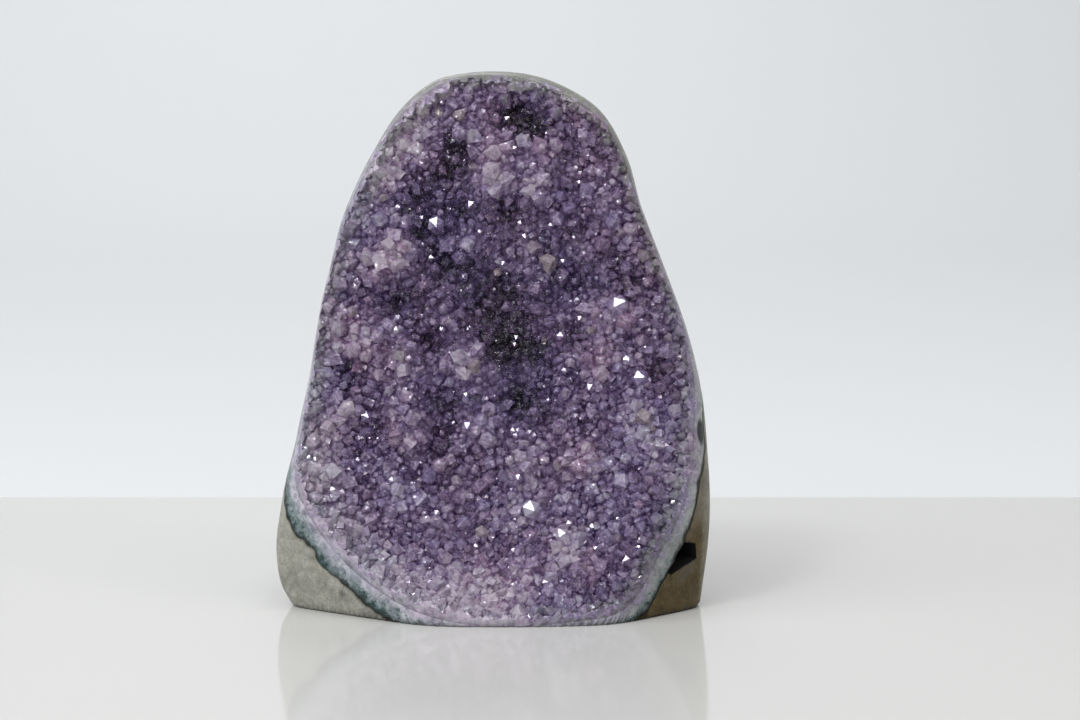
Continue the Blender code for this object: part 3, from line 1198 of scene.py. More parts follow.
@dataclass
class BasaltMatrix:
    """The rough basalt that carries the lining: polished at the rim, natural at the back."""

    form: StoneForm
    cells: int = 144
    hollow_cells: int = 72
    bubble: int = 2
    crack: Pair = (0.16, 0.5)
    crack_shade: Pair = (0.1, 0.75)
    crumb: Pair = (0.9, 4.2)
    grit: Pair = (0.45, 1.9)
    foot_depth: float = 100.0
    foot_shade: float = 0.8
    foot_line: Pair = (0.1, 0.9)
    pit_place: Place = (53.6, -14.3, 47.2)
    pit_size: Place = (1.8, 1.9, 3.4)
    pit_wave: float = 0.16
    wedge_place: Place = (49.4, -19.6, 15.6)
    wedge: Knots = (
        (-5.6, -3.6), (-3.6, -4.8), (0.9, -3.0), (5.2, -1.6), (4.2, 2.6), (-0.3, 3.6),
    )
    wedge_taper: float = 0.95
    wedge_front: float = 4.0
    wedge_depth: float = 9.0
    olive_side: Pair = (-5.0, 25.0)
    olive_top: Pair = (18.0, 30.0)
    olive_edge: Pair = (53.0, 54.6)
    olive_lean: float = 0.03
    olive_loss: float = 0.35
    olive_back: Pair = (5.0, 20.0)
    strip: tuple[Place, Place] = ((-53.4, -15.2, 34.0), (-51.9, -17.0, 25.0))
    strip_width: Pair = (1.2, 2.6)
    spot_place: Place = (-39.2, -21.2, 5.9)
    spot_width: Pair = (0.6, 1.8)
    patch_shade: float = 0.75
    sharp_angle: float = 38.0

    def foot(self) -> Mesh:
        """Make the block below the table's face that the saw takes away."""
        directions, triangles = cube_ball(1)
        return mesh_of("foot", (np.sign(directions) - UP) * self.foot_depth, triangles, HIDDEN)

    def gas_bubbles(self) -> Mesh:
        """Make the two open gas bubbles at the right, as a solid to be cut away.

        Returns:
            The round pit and the wedge, two closed forms in one mesh.
        """
        directions, triangles = cube_ball(10)
        bent = directions * (1 + self.pit_wave * waves(directions, 0.8)[:, None])
        pit = bent * np.array(self.pit_size) + np.array(self.pit_place)
        outward = unit(np.array(self.form.ground_facets[1][0]))
        along = unit(np.cross(UP, outward))
        upward = np.cross(outward, along)
        ring = np.array([right * along + high * upward for right, high in self.wedge])
        middle = np.array(self.wedge_place)
        inner = middle + self.wedge_taper * ring - self.wedge_depth * outward
        outer = middle + ring + self.wedge_front * outward
        points = np.concatenate([outer, middle + ring, inner])
        count = len(ring)
        faces = [(0, k, k + 1) for k in range(1, count - 1)]
        faces += [(2 * count, 2 * count + k + 1, 2 * count + k) for k in range(1, count - 1)]
        for level in (0, count):
            for k in range(count):
                a, b = level + k, level + (k + 1) % count
                faces += [(a, a + count, b), (b, a + count, b + count)]
        whole = np.concatenate([triangles, np.array(faces) + len(pit)])
        return mesh_of("gas_bubbles", np.concatenate([pit, points]), whole, self.bubble)

    def mesh(self) -> Mesh:
        """Make the basalt's mesh, in millimetres.

        Returns:
            The carved mesh, with its "source" attribute.
        """
        directions, triangles = cube_ball(self.cells)
        points = self.form.body_points(directions)
        normals = vertex_normals(points, triangles)
        weathered = self.form.weathered(points)
        height = self.form.relief(points)
        for rise, pitch in (self.crumb, self.grit):
            height += weathered * rise * (waves(points, pitch, (5.0, 1.0, 8.0)) - 0.8) / 2
        body = mesh_of("basalt", points + normals * height[:, None], triangles)
        directions, triangles = cube_ball(self.hollow_cells)
        wander = self.form.crack_wander(self.form.layer_points(directions, self.form.lining_back))
        low, high = self.crack
        gap = low + (high - low) * smoothstep(-0.2, 0.5, waves(directions, 0.35, (4.0, 4.0, 4.0)))
        hollow = self.form.layer_points(directions, self.form.lining_back + wander + gap)
        steps = [
            (Cut.TAKE_AWAY, self.foot()),
            (Cut.TAKE_AWAY, mesh_of("basalt_hollow", hollow, triangles)),
            (Cut.TAKE_AWAY, self.gas_bubbles()),
        ]
        return carved(body, steps)

    def olive(self, points: Array) -> Array:
        """Return how olive the stone is: more to the right, less above the vug and at the very edge.

        Args:
            points: Places, one row each.

        Returns:
            One share a point.
        """
        high = smoothstep(*self.olive_top, points[:, 2])
        edge = smoothstep(*self.olive_edge, points[:, 0] - self.olive_lean * points[:, 2])
        share = smoothstep(*self.olive_side, points[:, 0])
        share = share * (1 - self.olive_loss * high) * (1 - self.olive_loss * edge)
        return np.maximum(share, smoothstep(*self.olive_back, points[:, 1]))

    def patch(self, points: Array) -> Array:
        """Return how much of the smooth dark strip and spot at the left is felt.

        Args:
            points: Places, one row each.

        Returns:
            One share a point.
        """
        start, end = np.array(self.strip)
        run = end - start
        along = np.clip((points - start) @ run / (run @ run), 0, 1)
        away = np.linalg.norm(points - start - along[:, None] * run, axis=1)
        spot = np.linalg.norm(points - np.array(self.spot_place), axis=1)
        share = np.maximum(1 - smoothstep(*self.strip_width, away), 1 - smoothstep(*self.spot_width, spot))
        return self.patch_shade * share

    def painted_shade(self, mesh: Mesh, points: Array) -> Array:
        """Return where the stone is painted black as shade: along the crack, inside the gas bubbles and as
        a contact shadow at the foot's edge.

        Args:
            mesh: The carved mesh.
            points: Its vertices.

        Returns:
            One share a vertex.
        """
        stray = self.form.layer_depth(points) - self.form.lining_back - self.form.crack_wander(points)
        # painted shade along the crack, on the polished front only
        crack = (1 - smoothstep(*self.crack_shade, stray)) * (1 - self.form.weathered(points))
        # painted shade inside the gas bubbles
        inside = np.zeros(len(points))
        corners = fetch(mesh.loops, "vertex_index", np.int32)
        counts = fetch(mesh.polygons, "loop_total", np.int32)
        inside[corners[np.repeat(source_numbers(mesh) == self.bubble, counts)]] = 1.0
        # painted contact shadow at the foot
        foot = self.foot_shade * (1 - smoothstep(*self.foot_line, points[:, 2]))
        return np.maximum(np.maximum(crack, inside), foot)

    def dress(self, mesh: Mesh) -> Mesh:
        """Store where the stone is weathered, olive, smooth or painted black as shade, and shade it.

        Args:
            mesh: The carved mesh.

        Returns:
            The same mesh.
        """
        points = places(mesh)
        write(mesh, "weathered", self.form.weathered(points))
        write(mesh, "olive", self.olive(points))
        write(mesh, "smooth_patch", self.patch(points))
        write(mesh, "painted_shade", self.painted_shade(mesh, points))
        mesh.shade_smooth()
        mesh.set_sharp_from_angle(angle=math.radians(self.sharp_angle))
        return mesh

    def build(self, material: Material) -> Object:
        """Build, dress and place the basalt."""
        return piece("basalt_stone", self.dress(self.mesh()), material, "basalt_matrix")


# ---- the agate


@dataclass(frozen=True)
class CutFace:
    """How the polished cut through crust and lining looks round the hollow.

    Each curve has (angle in degrees, value) knots, the angle turning from the right side
    through the top.
    """

    form: StoneForm
    violet_to: Knots = (
        (-180, 3.2), (-150, 2.6), (-125, 2.2), (-105, 2.6), (-85, 3.0), (-62, 3.8), (-40, 4.2),
        (-10, 4.0), (20, 3.8), (45, 3.6), (90, 3.4), (120, 3.4), (150, 3.3),
    )
    moss: Knots = (
        (-180, 0.1), (-170, 0.7), (-160, 1.0), (-120, 1.0), (-104, 0.35), (-92, 0.0), (-72, 0.1),
        (-60, 1.0), (-48, 0.9), (-36, 0.1), (0, 0.0), (90, 0.0), (140, 0.05),
    )
    dull: Knots = (
        (-180, 0.35), (-165, 0.1), (-100, 0.0), (-70, 0.2), (-50, 0.6), (-20, 0.45), (15, 0.5),
        (45, 0.95), (95, 1.0), (115, 0.6), (135, 0.35), (160, 0.3),
    )
    fade: Knots = (
        (-180, 4.5), (-160, 7.0), (-135, 8.5), (-115, 7.0), (-90, 5.0), (-70, 3.5), (-50, 3.5),
        (-30, 4.5), (0, 3.5), (45, 2.2), (95, 2.0), (120, 4.4), (150, 5.0),
    )

    def curve(self, knots: Knots, points: Array) -> Array:
        """Return a curve's values at points, by their angle round the hollow."""
        angle, _ = self.form.polar(points[:, 0], points[:, 2], self.form.pocket_centre)
        return ClosedCurve(knots, 360.0).at(np.degrees(angle))

    def write(self, mesh: Mesh) -> None:
        """Store the place across the band, 0 at the crystals and 1 at the basalt, and its look.

        Args:
            mesh: A mesh that the cut goes through.
        """
        points = places(mesh)
        start = self.curve(self.violet_to, points)
        depth = self.form.layer_depth(points) - start
        write(mesh, "band", depth / (self.form.lining_back - start))
        for name, knots in (("moss", self.moss), ("dull", self.dull)):
            write(mesh, name, np.clip(self.curve(knots, points), 0, 1))


@dataclass
class AgateLining:
    """The lining of agate between the basalt and the crystals."""

    form: StoneForm
    front: float = 3.3
    front_cells: int = 40
    back_cells: int = 72
    crack_shade: Pair = (0.15, 0.7)
    # painted shade round the gas bubble's pit, out to this share of its size
    pit_edge: Pair = (0.8, 1.2)
    foot_shade: float = 0.7
    foot_line: Pair = (0.1, 0.9)
    sharp_angle: float = 18.0

    def mesh(self, body: Mesh) -> Mesh:
        """Make the lining's mesh, in millimetres.

        Args:
            body: The polished outer form.

        Returns:
            The carved mesh.
        """
        form = self.form
        directions, triangles = cube_ball(self.back_cells)
        wander = form.crack_wander(form.layer_points(directions, form.lining_back))
        solid = mesh_of("agate", form.layer_points(directions, form.lining_back + wander), triangles)
        directions, triangles = cube_ball(self.front_cells)
        hollow = mesh_of("agate_hollow", form.layer_points(directions, self.front), triangles)
        return carved(solid, [(Cut.TAKE_AWAY, hollow), (Cut.KEEP_COMMON, body)])

    def dress(self, mesh: Mesh, crust: "AmethystCrust") -> Mesh:
        """Store the bands, the crystals' tone that shows in the cut, and the painted shade along the crack,
        round the gas bubble's pit and as a contact shadow at the foot.

        Args:
            mesh: The lining's mesh.
            crust: The crystals that lie on it.

        Returns:
            The same mesh.
        """
        points = places(mesh)
        CutFace(self.form).write(mesh)
        for name, values in zip(("tone", "rose"), crust.shade(points)):
            write(mesh, name, np.clip(values, 0, 1))
        form = self.form
        stray = form.lining_back + form.crack_wander(points) - form.layer_depth(points)
        off = (points - np.array(BasaltMatrix.pit_place)) / BasaltMatrix.pit_size
        pit = np.linalg.norm(off, axis=1)
        crack = np.maximum(1 - smoothstep(*self.crack_shade, stray), 1 - smoothstep(*self.pit_edge, pit))
        foot = self.foot_shade * (1 - smoothstep(*self.foot_line, points[:, 2]))
        # painted shade along the crack and round the pit, and a painted contact shadow at the foot
        write(mesh, "edge", np.maximum(crack, foot))
        mesh.shade_smooth()
        mesh.set_sharp_from_angle(angle=math.radians(self.sharp_angle))
        return mesh

    def build(
        self, body: Mesh, crust: "AmethystCrust", material: Material
    ) -> Object:
        """Build the lining in the polished outer form, dress it to match the crust and place it."""
        mesh = self.dress(self.mesh(body), crust)
        return piece("agate_band", mesh, material, "agate_lining")


# ---- the crystals


class Habit(Enum):
    """How far a crystal's point goes from six equal faces to three large ones."""

    SIX_FACED = 0.0
    MIXED = 0.16
    THREE_FACED = 0.34


@dataclass(frozen=True)
class Generation:
    """One generation of crystals, grown between those before it."""

    most: int
    radius: Pair
    apart: float
    stem: Pair
    lean: float


@dataclass(frozen=True)
class Mound:
    """A soft rise of the crust, or a dip with a height below 0, with its own tone; a dip's darker tone is
    partly the crystals' deeper colour and partly painted shade in the hollow.

    The last number says how many large crystals stand on it.
    """

    x: float
    z: float
    reach: float
    height: float
    tone: float
    rose: float = 0.0
    large: int = 0

    def share(self, points: Array) -> Array:
        """Return how much of the mound is felt at points, 1 at its middle."""
        away = np.hypot(points[:, 0] - self.x, points[:, 2] - self.z) / self.reach
        return np.exp(-away * away)


MOUNDS = tuple(Mound(*row) for row in (  # x, z, reach, height, tone, rose, large
    (-25.6, 94, 5.2, 2, 0.22, 0.6, 7), (-31.9, 90, 4, 1, 0.16, 0.35, 3),
    (-27.8, 113.5, 4.2, 1, 0.16, 0.35, 3), (-18.8, 126, 5, 0.8, 0.18, 0.1, 2),
    (-22.5, 119, 4.5, 0.4, 0.12, 0.25, 2), (0.5, 112.3, 4.2, 2, 0.2, 0.5, 5),
    (0.4, 119, 4, 1.2, 0.1, 0.4, 3), (13.3, 119.8, 4, 1, 0.12, 0.45, 3),
    (10.7, 110.9, 4, 1.2, 0.14, 0.3, 3), (-35.9, 69.7, 7, 1.4, 0.16, 0.7, 7),
    (-24.3, 65.3, 4.2, 1.4, 0.13, 0.4, 4), (-6.1, 64.8, 4.8, 2, 0.17, 0.25, 6),
    (-38.5, 53, 4, 1, 0.15, 0.35, 3), (-43.6, 45.4, 5, 0.9, 0.14, 0.5, 4),
    (-45.2, 36, 5, 0.9, 0.24, 0.45, 5), (-23.1, 47.6, 4.5, 1.2, 0.1, 0.1, 4),
    (-2.3, 48.9, 4.8, 1.6, 0.1, 0, 4), (23.7, 40.1, 4.4, 1.8, 0.12, 0.6, 5),
    (8.1, 40.4, 4.2, 1.2, 0.1, 0.05, 3), (28.7, 66.4, 5.5, 1.4, 0.08, 0.55, 5),
    (27, 78, 4.5, 0.8, 0.06, 0.4, 3), (34, 77.3, 4, 0.9, 0.07, 0.4, 3),
    (18.5, 17.9, 4.2, 1.5, 0.2, 0.4, 4), (24.9, 11.5, 3.6, 0.9, 0.12, 0.45, 2),
    (9.4, 12.7, 5, 0.8, 0.06, 0.2, 3), (17.2, 29.6, 5, 1, 0.06, 0, 3), (5, 27, 5, 0.8, 0.08, 0, 3),
    (-11.3, 29.7, 5, 0.8, 0.05, 0, 3), (-24.2, 30, 6, 0.6, 0.05, 0, 3), (-24.3, 56, 4.5, 1, 0.06, 0, 3),
    (-8.7, 95.4, 4, 1, 0.06, 0, 3), (12, 88.9, 6, 1, 0.04, 0, 3), (40.5, 47.9, 6, 0.8, 0.16, -0.2, 3),
    (36, 36, 8, 0.4, 0.06, -0.1, 2), (4.8, 129.5, 3.6, -1.5, -0.22), (10.5, 126.5, 4.5, -1.2, -0.18),
    (-9.6, 119.5, 3.4, -1.2, -0.16), (-11.1, 113.5, 4, -1.2, -0.12), (-19, 107.5, 5.5, -1.2, -0.13),
    (-9, 104, 4.5, -1.2, -0.13), (3, 104.4, 4.4, -1.5, -0.18), (-19, 99, 3.2, -1.4, -0.16),
    (-13.9, 91.5, 5, -1.4, -0.15), (-24.6, 80.2, 4.6, -1.4, -0.17), (-5, 86.5, 6.5, -1.2, -0.1),
    (1.7, 81, 6, -1.5, -0.17), (1.5, 69.5, 6, -1.7, -0.22), (9.4, 68.4, 5, -1.2, -0.15),
    (21.1, 71, 3.4, -1.2, -0.14), (-38.5, 63.5, 3.4, -1.2, -0.18, -0.4), (-38.4, 57.6, 2.6, -1, -0.1),
    (-16.3, 70, 3.6, -1.2, -0.1), (-12.4, 56.1, 4, -1.2, -0.12), (6.9, 54.9, 4.6, -1.4, -0.17),
    (36.6, 85.1, 4.6, -1.2, -0.13), (43, 62.1, 4.4, -1.2, -0.13), (32.6, 92, 4, -0.6, -0.08),
    (28.7, 39.8, 2.6, -1.1, -0.12), (24.8, 9.3, 3.2, -0.8, -0.1), (13.3, 18.5, 2.8, -0.8, -0.08),
    (-13.9, 45.3, 4, -0.8, -0.08), (17, 84, 5, -0.6, -0.07), (-2, 128, 9, 0, 0.02, 0.1),
    (26, 120, 11, 0, -0.03, 0.25), (40, 98, 10, 0, 0, 0.35), (-45, 27, 6.5, 0, 0.12, 0.05),
    (-37, 17, 7, 0, 0.13, 0.1), (-27, 9.5, 7, 0, 0.13, 0.2), (-14, 4.5, 8, 0, 0.12, 0.3),
    (-2, 3, 12, 0, 0.15, 0.35), (40, 13, 9, 0, -0.05, -0.1), (12, 34, 11, 0, 0.06, 0.1),
    (-30, 112, 8, 0, 0.06, 0.15),
))


@dataclass
class Crystals:
    """Crystals as rows of numbers, and the solids made from them."""

    place: Array
    axis: Array
    side: Array
    radius: Array
    stem: Array
    root: Array
    point: Array
    habit: Array
    ring: Array
    tip: Array

    def nearest(self, spot: Pair, least: float) -> int:
        """Return the crystal nearest to a spot's x and z, passing over those below the least radius."""
        away = np.linalg.norm(self.place[:, [0, 2]] - spot, axis=1)
        return int(np.argmin(away + PASSED_OVER * (self.radius < least)))

    def batches(self) -> list[Array]:
        """Share the crystals out so that those in one batch stay clear of each other.

        Returns:
            The crystals' numbers, batch by batch.
        """
        top = self.stem + self.point
        middle = self.place + self.axis * ((top - self.root) / 2)[:, None]
        reach = np.hypot((top + self.root) / 2, self.radius)
        batch = np.zeros(len(reach), int)
        for index in range(1, len(reach)):
            away = np.linalg.norm(middle[:index] - middle[index], axis=1)
            taken = set(batch[:index][away < reach[:index] + reach[index]].tolist())
            batch[index] = next(number for number in range(len(taken) + 1) if number not in taken)
        return [np.flatnonzero(batch == number) for number in range(batch.max() + 1)]

    def solid(self, name: str, chosen: Array) -> Mesh:
        """Make the chosen crystals, each with six sides and a point of six faces.

        Args:
            name: The mesh's name.
            chosen: Numbers of the crystals.

        Returns:
            Closed crystals in one mesh, whose faces hold their crystal's number.
        """
        axis, side = self.axis[chosen], self.side[chosen]
        other = np.cross(axis, side)
        angles = np.arange(6) * math.pi / 3
        around = np.cos(angles)[None, :, None] * side[:, None]
        around = around + np.sin(angles)[None, :, None] * other[:, None]
        ring = around * (self.radius[chosen][:, None] * self.ring[chosen])[:, :, None]
        foot = self.place[chosen] - axis * self.root[chosen][:, None]
        step = np.where(np.arange(6) % 2 == 0, 1.0, -1.0)
        rise = self.stem[chosen][:, None] + (self.habit[chosen] * self.point[chosen])[:, None] * step
        shoulder = self.place[chosen][:, None] + axis[:, None] * rise[:, :, None] + ring
        lean = side * self.tip[chosen][:, :1] + other * self.tip[chosen][:, 1:]
        height = (self.stem + self.point)[chosen][:, None]
        peak = self.place[chosen] + axis * height + lean * self.radius[chosen][:, None]
        points = np.concatenate([foot[:, None] + ring, shoulder, peak[:, None]], axis=1)
        faces = [(0, k + 1, k) for k in range(1, 5)]
        for k in range(6):
            after = (k + 1) % 6
            faces += [(k, after, 6 + after), (k, 6 + after, 6 + k), (6 + k, 6 + after, 12)]
        triangles = np.array(faces)[None] + 13 * np.arange(len(chosen))[:, None, None]
        source = np.repeat(chosen, len(faces))
        return mesh_of(name, points.reshape(-1, 3), triangles.reshape(-1, 3), source)


def local_mean(points: Array, values: Array, pitch: float) -> Array:
    """Return the mean of the values that lie around each point.

    Args:
        points: Places, one row each.
        values: One value a point.
        pitch: Side of the cells that values are averaged in.

    Returns:
        One mean a point, from four sets of shifted cells.
    """
    total = np.zeros(len(points))
    shifts = np.array([(0, 0, 0), (0.5, 0.5, 0.5), (0.5, 0, 0.25), (0, 0.5, 0.75)])
    for shift in shifts:
        cells = np.floor(points / pitch + shift).astype(int)
        _, index = np.unique(cells, axis=0, return_inverse=True)
        index = index.reshape(-1)
        total += (np.bincount(index, values) / np.bincount(index))[index]
    return total / len(shifts)


@dataclass
class Seats:
    """Places on the crust that crystals take one after the other."""

    spots: Array
    place: Array = field(default_factory=lambda: np.zeros((0, 3)))
    radius: Array = field(default_factory=lambda: np.zeros(0))
    taken: list[int] = field(default_factory=list)

    def fill(self, pool: Array, sizes: Array, apart: float, most: int) -> int:
        """Seat crystals that stay clear of those before them.

        Args:
            pool: Numbers of the spots to try, in order.
            sizes: The crystal's radius at each.
            apart: Least distance between two crystals, as a share of their radii's sum.
            most: How many to seat at most.

        Returns:
            How many were seated.
        """
        place = np.vstack([self.place, np.full((most, 3), 1e6)])
        radius = np.append(self.radius, np.zeros(most))
        first = last = len(self.radius)
        for index, size in zip(pool.tolist(), sizes.tolist()):
            away = np.linalg.norm(place[:last] - self.spots[index], axis=1)
            if (away < apart * (radius[:last] + size)).any():
                continue
            place[last], radius[last] = self.spots[index], size
            self.taken.append(index)
            last += 1
            if last == first + most:
                break
        self.place, self.radius = place[:last], radius[:last]
        return last - first


@dataclass
class AmethystCrust:
    """The crust of fused amethyst crystals that lines the hollow."""

    form: StoneForm
    seed: int = 41
    slab_back: float = 4.6
    back: float = 3.28
    back_cells: int = 40
    druse_pitch: float = 1.22
    druse_jitter: float = 0.26
    druse_rise: Pair = (0.45, 1.35)
    druse_dip: Pair = (0.0, 0.3)
    druse_first: int = 100000
    # painted shade: the druse that shows in the gaps between crystals is made this much darker
    druse_tone: float = -0.04
    sheet: Pair = (148.0, 200.0)
    sheet_low: float = -72.0
    sheet_reach: float = 68.0
    sheet_far: float = 160.0
    root: float = 3.4
    point: Pair = (0.8, 1.3)
    ring: Pair = (0.84, 1.1)
    tip: Pair = (-0.3, 0.3)
    candidates: int = 42000
    rim: float = 1.6
    sink_width: float = 8.0
    sink_low: float = 1.9
    sink_high: float = 2.3
    sink_wave: Wave = Wave(0.5, 4.6, (3.0, 5.0, 2.0))
    sink_rise: Pair = (12.0, 45.0)
    bulge_waves: tuple[Wave, Wave] = (
        Wave(0.55, 6.5, (2.0, 4.0, 8.0)), Wave(0.35, 3.1, (8.0, 1.0, 3.0)),
    )
    mound_height: float = 1.25
    fan: float = 1.5
    rise_pitch: float = 4.0
    generations: tuple[Generation, ...] = (
        Generation(230, (1.8, 2.5), 0.66, (0.0, 0.5), 38.0),
        Generation(700, (1.25, 1.75), 0.54, (0.0, 0.7), 42.0),
        Generation(950, (0.85, 1.2), 0.52, (0.1, 0.9), 44.0),
        Generation(900, (0.55, 0.85), 0.52, (0.3, 1.3), 46.0),
    )
    large: Pair = (1.8, 2.7)
    large_apart: float = 0.62
    large_share: float = 0.45
    large_stem: Pair = (0.0, 0.5)
    large_lean: float = 30.0
    mounds: tuple[Mound, ...] = MOUNDS
    tone: float = 0.622
    tone_spread: float = 0.062
    tone_waves: tuple[Wave, Wave] = (Wave(0.10, 14.0, (9.0, 2.0, 5.0)), Wave(0.12, 5.5))
    tone_by_size: float = 0.02
    mean_radius: float = 1.2
    rose: float = 0.22
    rose_spread: float = 0.14
    rose_waves: tuple[Wave, Wave] = (
        Wave(0.45, 16.0, (1.0, 6.0, 2.0)), Wave(0.25, 5.0, (5.0, 5.0, 1.0)),
    )
    near_rim: Pair = (0.78, 0.98)
    near_edge: Pair = (0.80, 0.98)
    rim_tone: Knots = (
        (-180, 0.14), (-150, 0.07), (-120, 0.10), (-100, 0.12), (-85, 0.10), (-70, 0.0), (-50, -0.10),
        (-20, 0.0), (0, 0.01), (45, 0.02), (90, 0.05), (112, 0.12), (135, 0.16), (160, 0.16),
    )
    mound_strength: float = 1.6
    # partly painted shade: darker mounds, mostly the dips, darken the tone this much more, for deeper
    # colour and for shade in the hollows
    dip_strength: float = 2.1
    fade_most: float = 0.95
    rise_most: float = 2.0
    placed_radius: float = 1.0
    cream_chance: float = 0.012
    cream_faint: float = 0.35
    cream: float = 0.6
    cream_tone: float = 0.75
    cream_places: Knots = (
        (-8.1, 129.3), (-14.0, 131.5), (26.2, 72.8), (-3.5, 21.4), (-30.5, 107.0), (2.4, 89.0),
        (41.7, 48.7), (38.5, 50.2), (-1.5, 62.4), (12.3, 89.9),
    )
    pale_tone: float = 0.92
    pale_rose: float = 0.1
    pale_places: Knots = (
        (-6.9, 120.9), (6.1, 121.6), (-33.0, 71.8), (22.6, 5.9), (34.8, 65.1), (-25.5, 73.5),
        (-24.0, 66.0), (27.5, 23.0), (19.0, 19.5),
    )
    glint_places: Knots = (
        (-23.8, 105.8), (-4.8, 105.0), (-13.3, 101.8), (4.8, 99.8), (12.3, 99.8), (2.4, 89.5),
        (21.1, 75.2), (25.7, 58.7), (5.3, 49.2), (5.0, 46.2), (-33.1, 52.6), (-8.3, 58.1),
        (-25.8, 73.7), (-11.6, 38.6), (7.1, 36.9), (8.1, 27.5), (19.0, 19.2), (34.1, 15.9),
        (37.7, 19.3), (36.5, 107.2), (18.5, 94.1), (34.8, 65.1), (-38.1, 101.6), (5.8, 121.6),
        (-18.9, 116.8), (31.1, 78.8), (19.0, 71.5), (17.2, 63.2), (-6.2, 50.4), (5.3, 25.0),
        (36.6, 59.8), (-46.9, 39.2), (7.8, 73.4),
    )
    glint_least: float = 0.8
    glint_others: int = 170
    glint_radius: Pair = (0.55, 1.1)
    glint_steep: float = 0.85
    glint_stem: float = 0.75
    glint_facing: float = 0.75
    glint_lamps: tuple[Place, ...] = (
        (-550.0, -650.0, 1150.0), (950.0, -550.0, 850.0), (250.0, -200.0, 1400.0),
    )
    eye: Place = (12.0, -552.0, 134.9)

    def __post_init__(self) -> None:
        """Start the dice that every random draw comes from."""
        self.dice = np.random.default_rng(self.seed)

    def between(self, limits: Pair, shape: int | tuple[int, int]) -> Array:
        """Return even random draws between two limits."""
        return self.dice.uniform(*limits, shape)

    def body_depth(self, points: Array) -> Array:
        """Return how far points lie inside the polished outer form, below 0 outside it.

        Args:
            points: Places, one row each.

        Returns:
            One depth a point.
        """
        depths = []
        for point in points.tolist():
            near, normal, _, away = self.tree.find_nearest(point)
            depths.append(-math.copysign(away, (Vector(point) - near).dot(normal)))
        return np.array(depths)

    def bulge(self, points: Array) -> Array:
        """Return the height of the mounds and dips at points, away from the rim."""
        height = sum(wave.at(points) for wave in self.bulge_waves)
        return height + self.mound_height * sum(mound.height * mound.share(points) for mound in self.mounds)

    def lift(self, points: Array) -> Array:
        """Return how far the crust stands out from the mean surface: at the rim it dips.

        Args:
            points: Places, one row each.

        Returns:
            One height a point.
        """
        more = (self.sink_high - self.sink_low) * smoothstep(*self.sink_rise, points[:, 2])
        sink = (self.sink_low + more) * (1 + self.sink_wave.at(points))
        inside = smoothstep(0.0, self.sink_width, self.body_depth(points))
        return self.bulge(points) * inside - sink * (1 - inside)

    def druse(self) -> Mesh:
        """Make the solid that fills the hollow, its back a druse of small crystal points.

        Returns:
            A closed mesh, whose faces hold the number of their point.
        """
        form, pitch = self.form, self.druse_pitch
        row_pitch = pitch * math.sqrt(3) / 2
        columns, rows = round(self.sheet[0] / pitch), round(self.sheet[1] / row_pitch)
        grids = np.meshgrid(np.arange(columns), np.arange(rows), indexing="ij")
        column, row = (grid.ravel() for grid in grids)
        inner = (column > 0) & (column < columns - 1) & (row > 0) & (row < rows - 1)
        stray = self.between((-self.druse_jitter, self.druse_jitter), (2, len(column)))
        jitter = stray * pitch * inner
        across = (column + row % 2 / 2 - columns / 2) * pitch + jitter[0]
        upward = row * row_pitch + self.sheet_low + jitter[1]
        angle, away = np.arctan2(upward, across), np.hypot(across, upward)
        reach = form.pocket_curve().at(angle)
        shares = 1 - np.linspace(1, 0, 400) ** 3
        sections = (1 - shares ** form.pocket_power) ** (1 / form.pocket_power)
        runs = np.hypot(np.diff(shares), np.diff(sections) * form.pocket_depth / self.sheet_reach)
        arc = np.concatenate([[0.0], np.cumsum(runs)])
        share = np.interp(away / reach, arc, shares)
        past = np.maximum(away / reach - arc[-1], 0.0) * reach
        x = form.pocket_centre[0] + share * reach * np.cos(angle)
        z = form.pocket_centre[1] + share * reach * np.sin(angle)
        section = np.maximum(1 - share ** form.pocket_power, 0.0) ** (1 / form.pocket_power)
        mouth = form.pocket_mouth + form.pocket_lean * z + form.swell(x, z)
        points = np.stack([x, mouth + form.pocket_depth * section - past, z], axis=1)

        number = np.arange(len(column)).reshape(columns, rows)
        low, right, high, corner = number[:-1, :-1], number[1:, :-1], number[:-1, 1:], number[1:, 1:]
        even = (np.arange(rows - 1) % 2 == 0)[None, :].repeat(columns - 1, axis=0)[..., None]
        first = np.where(even, np.stack([low, right, high], -1), np.stack([low, right, corner], -1))
        second = np.where(even, np.stack([right, corner, high], -1), np.stack([low, corner, high], -1))
        triangles = np.concatenate([first.reshape(-1, 3), second.reshape(-1, 3)])
        normals = vertex_normals(points, triangles)
        if normals[:, 1].sum() < 0:
            triangles, normals = triangles[:, ::-1], -normals
        raised = (column - row // 2 - row) % 3 == 0
        up, down = (self.between(limits, len(row)) for limits in (self.druse_rise, self.druse_dip))
        rise = np.where(raised, up, -down)
        points -= normals * ((self.lift(points) + rise) * inner)[:, None]

        peak = triangles[np.arange(len(triangles)), np.argmax(raised[triangles], axis=1)]
        edges = np.concatenate([triangles[:, [0, 1]], triangles[:, [1, 2]], triangles[:, [2, 0]]])
        code, reverse = edges @ [len(points), 1], edges @ [1, len(points)]
        rim = edges[~np.isin(code, reverse)]
        ring = np.unique(rim)
        place = np.zeros(len(points), int)
        place[ring] = len(points) + np.arange(len(ring))
        far = points[ring] * [1, 0, 1] - [0, self.sheet_far, 0]
        hub = len(points) + len(ring)
        start, end = rim[:, 0], rim[:, 1]
        cap = np.concatenate([
            np.stack([end, start, place[start]], 1),
            np.stack([end, place[start], place[end]], 1),
            np.stack([place[end], place[start], np.full(len(start), hub)], 1),
        ])
        middle = np.array([[form.pocket_centre[0], -self.sheet_far, form.pocket_centre[1]]])
        whole = np.concatenate([points, far, middle])
        source = np.concatenate([self.druse_first + peak, np.full(len(cap), HIDDEN)])
        self.druse_points = points
        return mesh_of("druse", whole, np.concatenate([triangles, cap]), source)

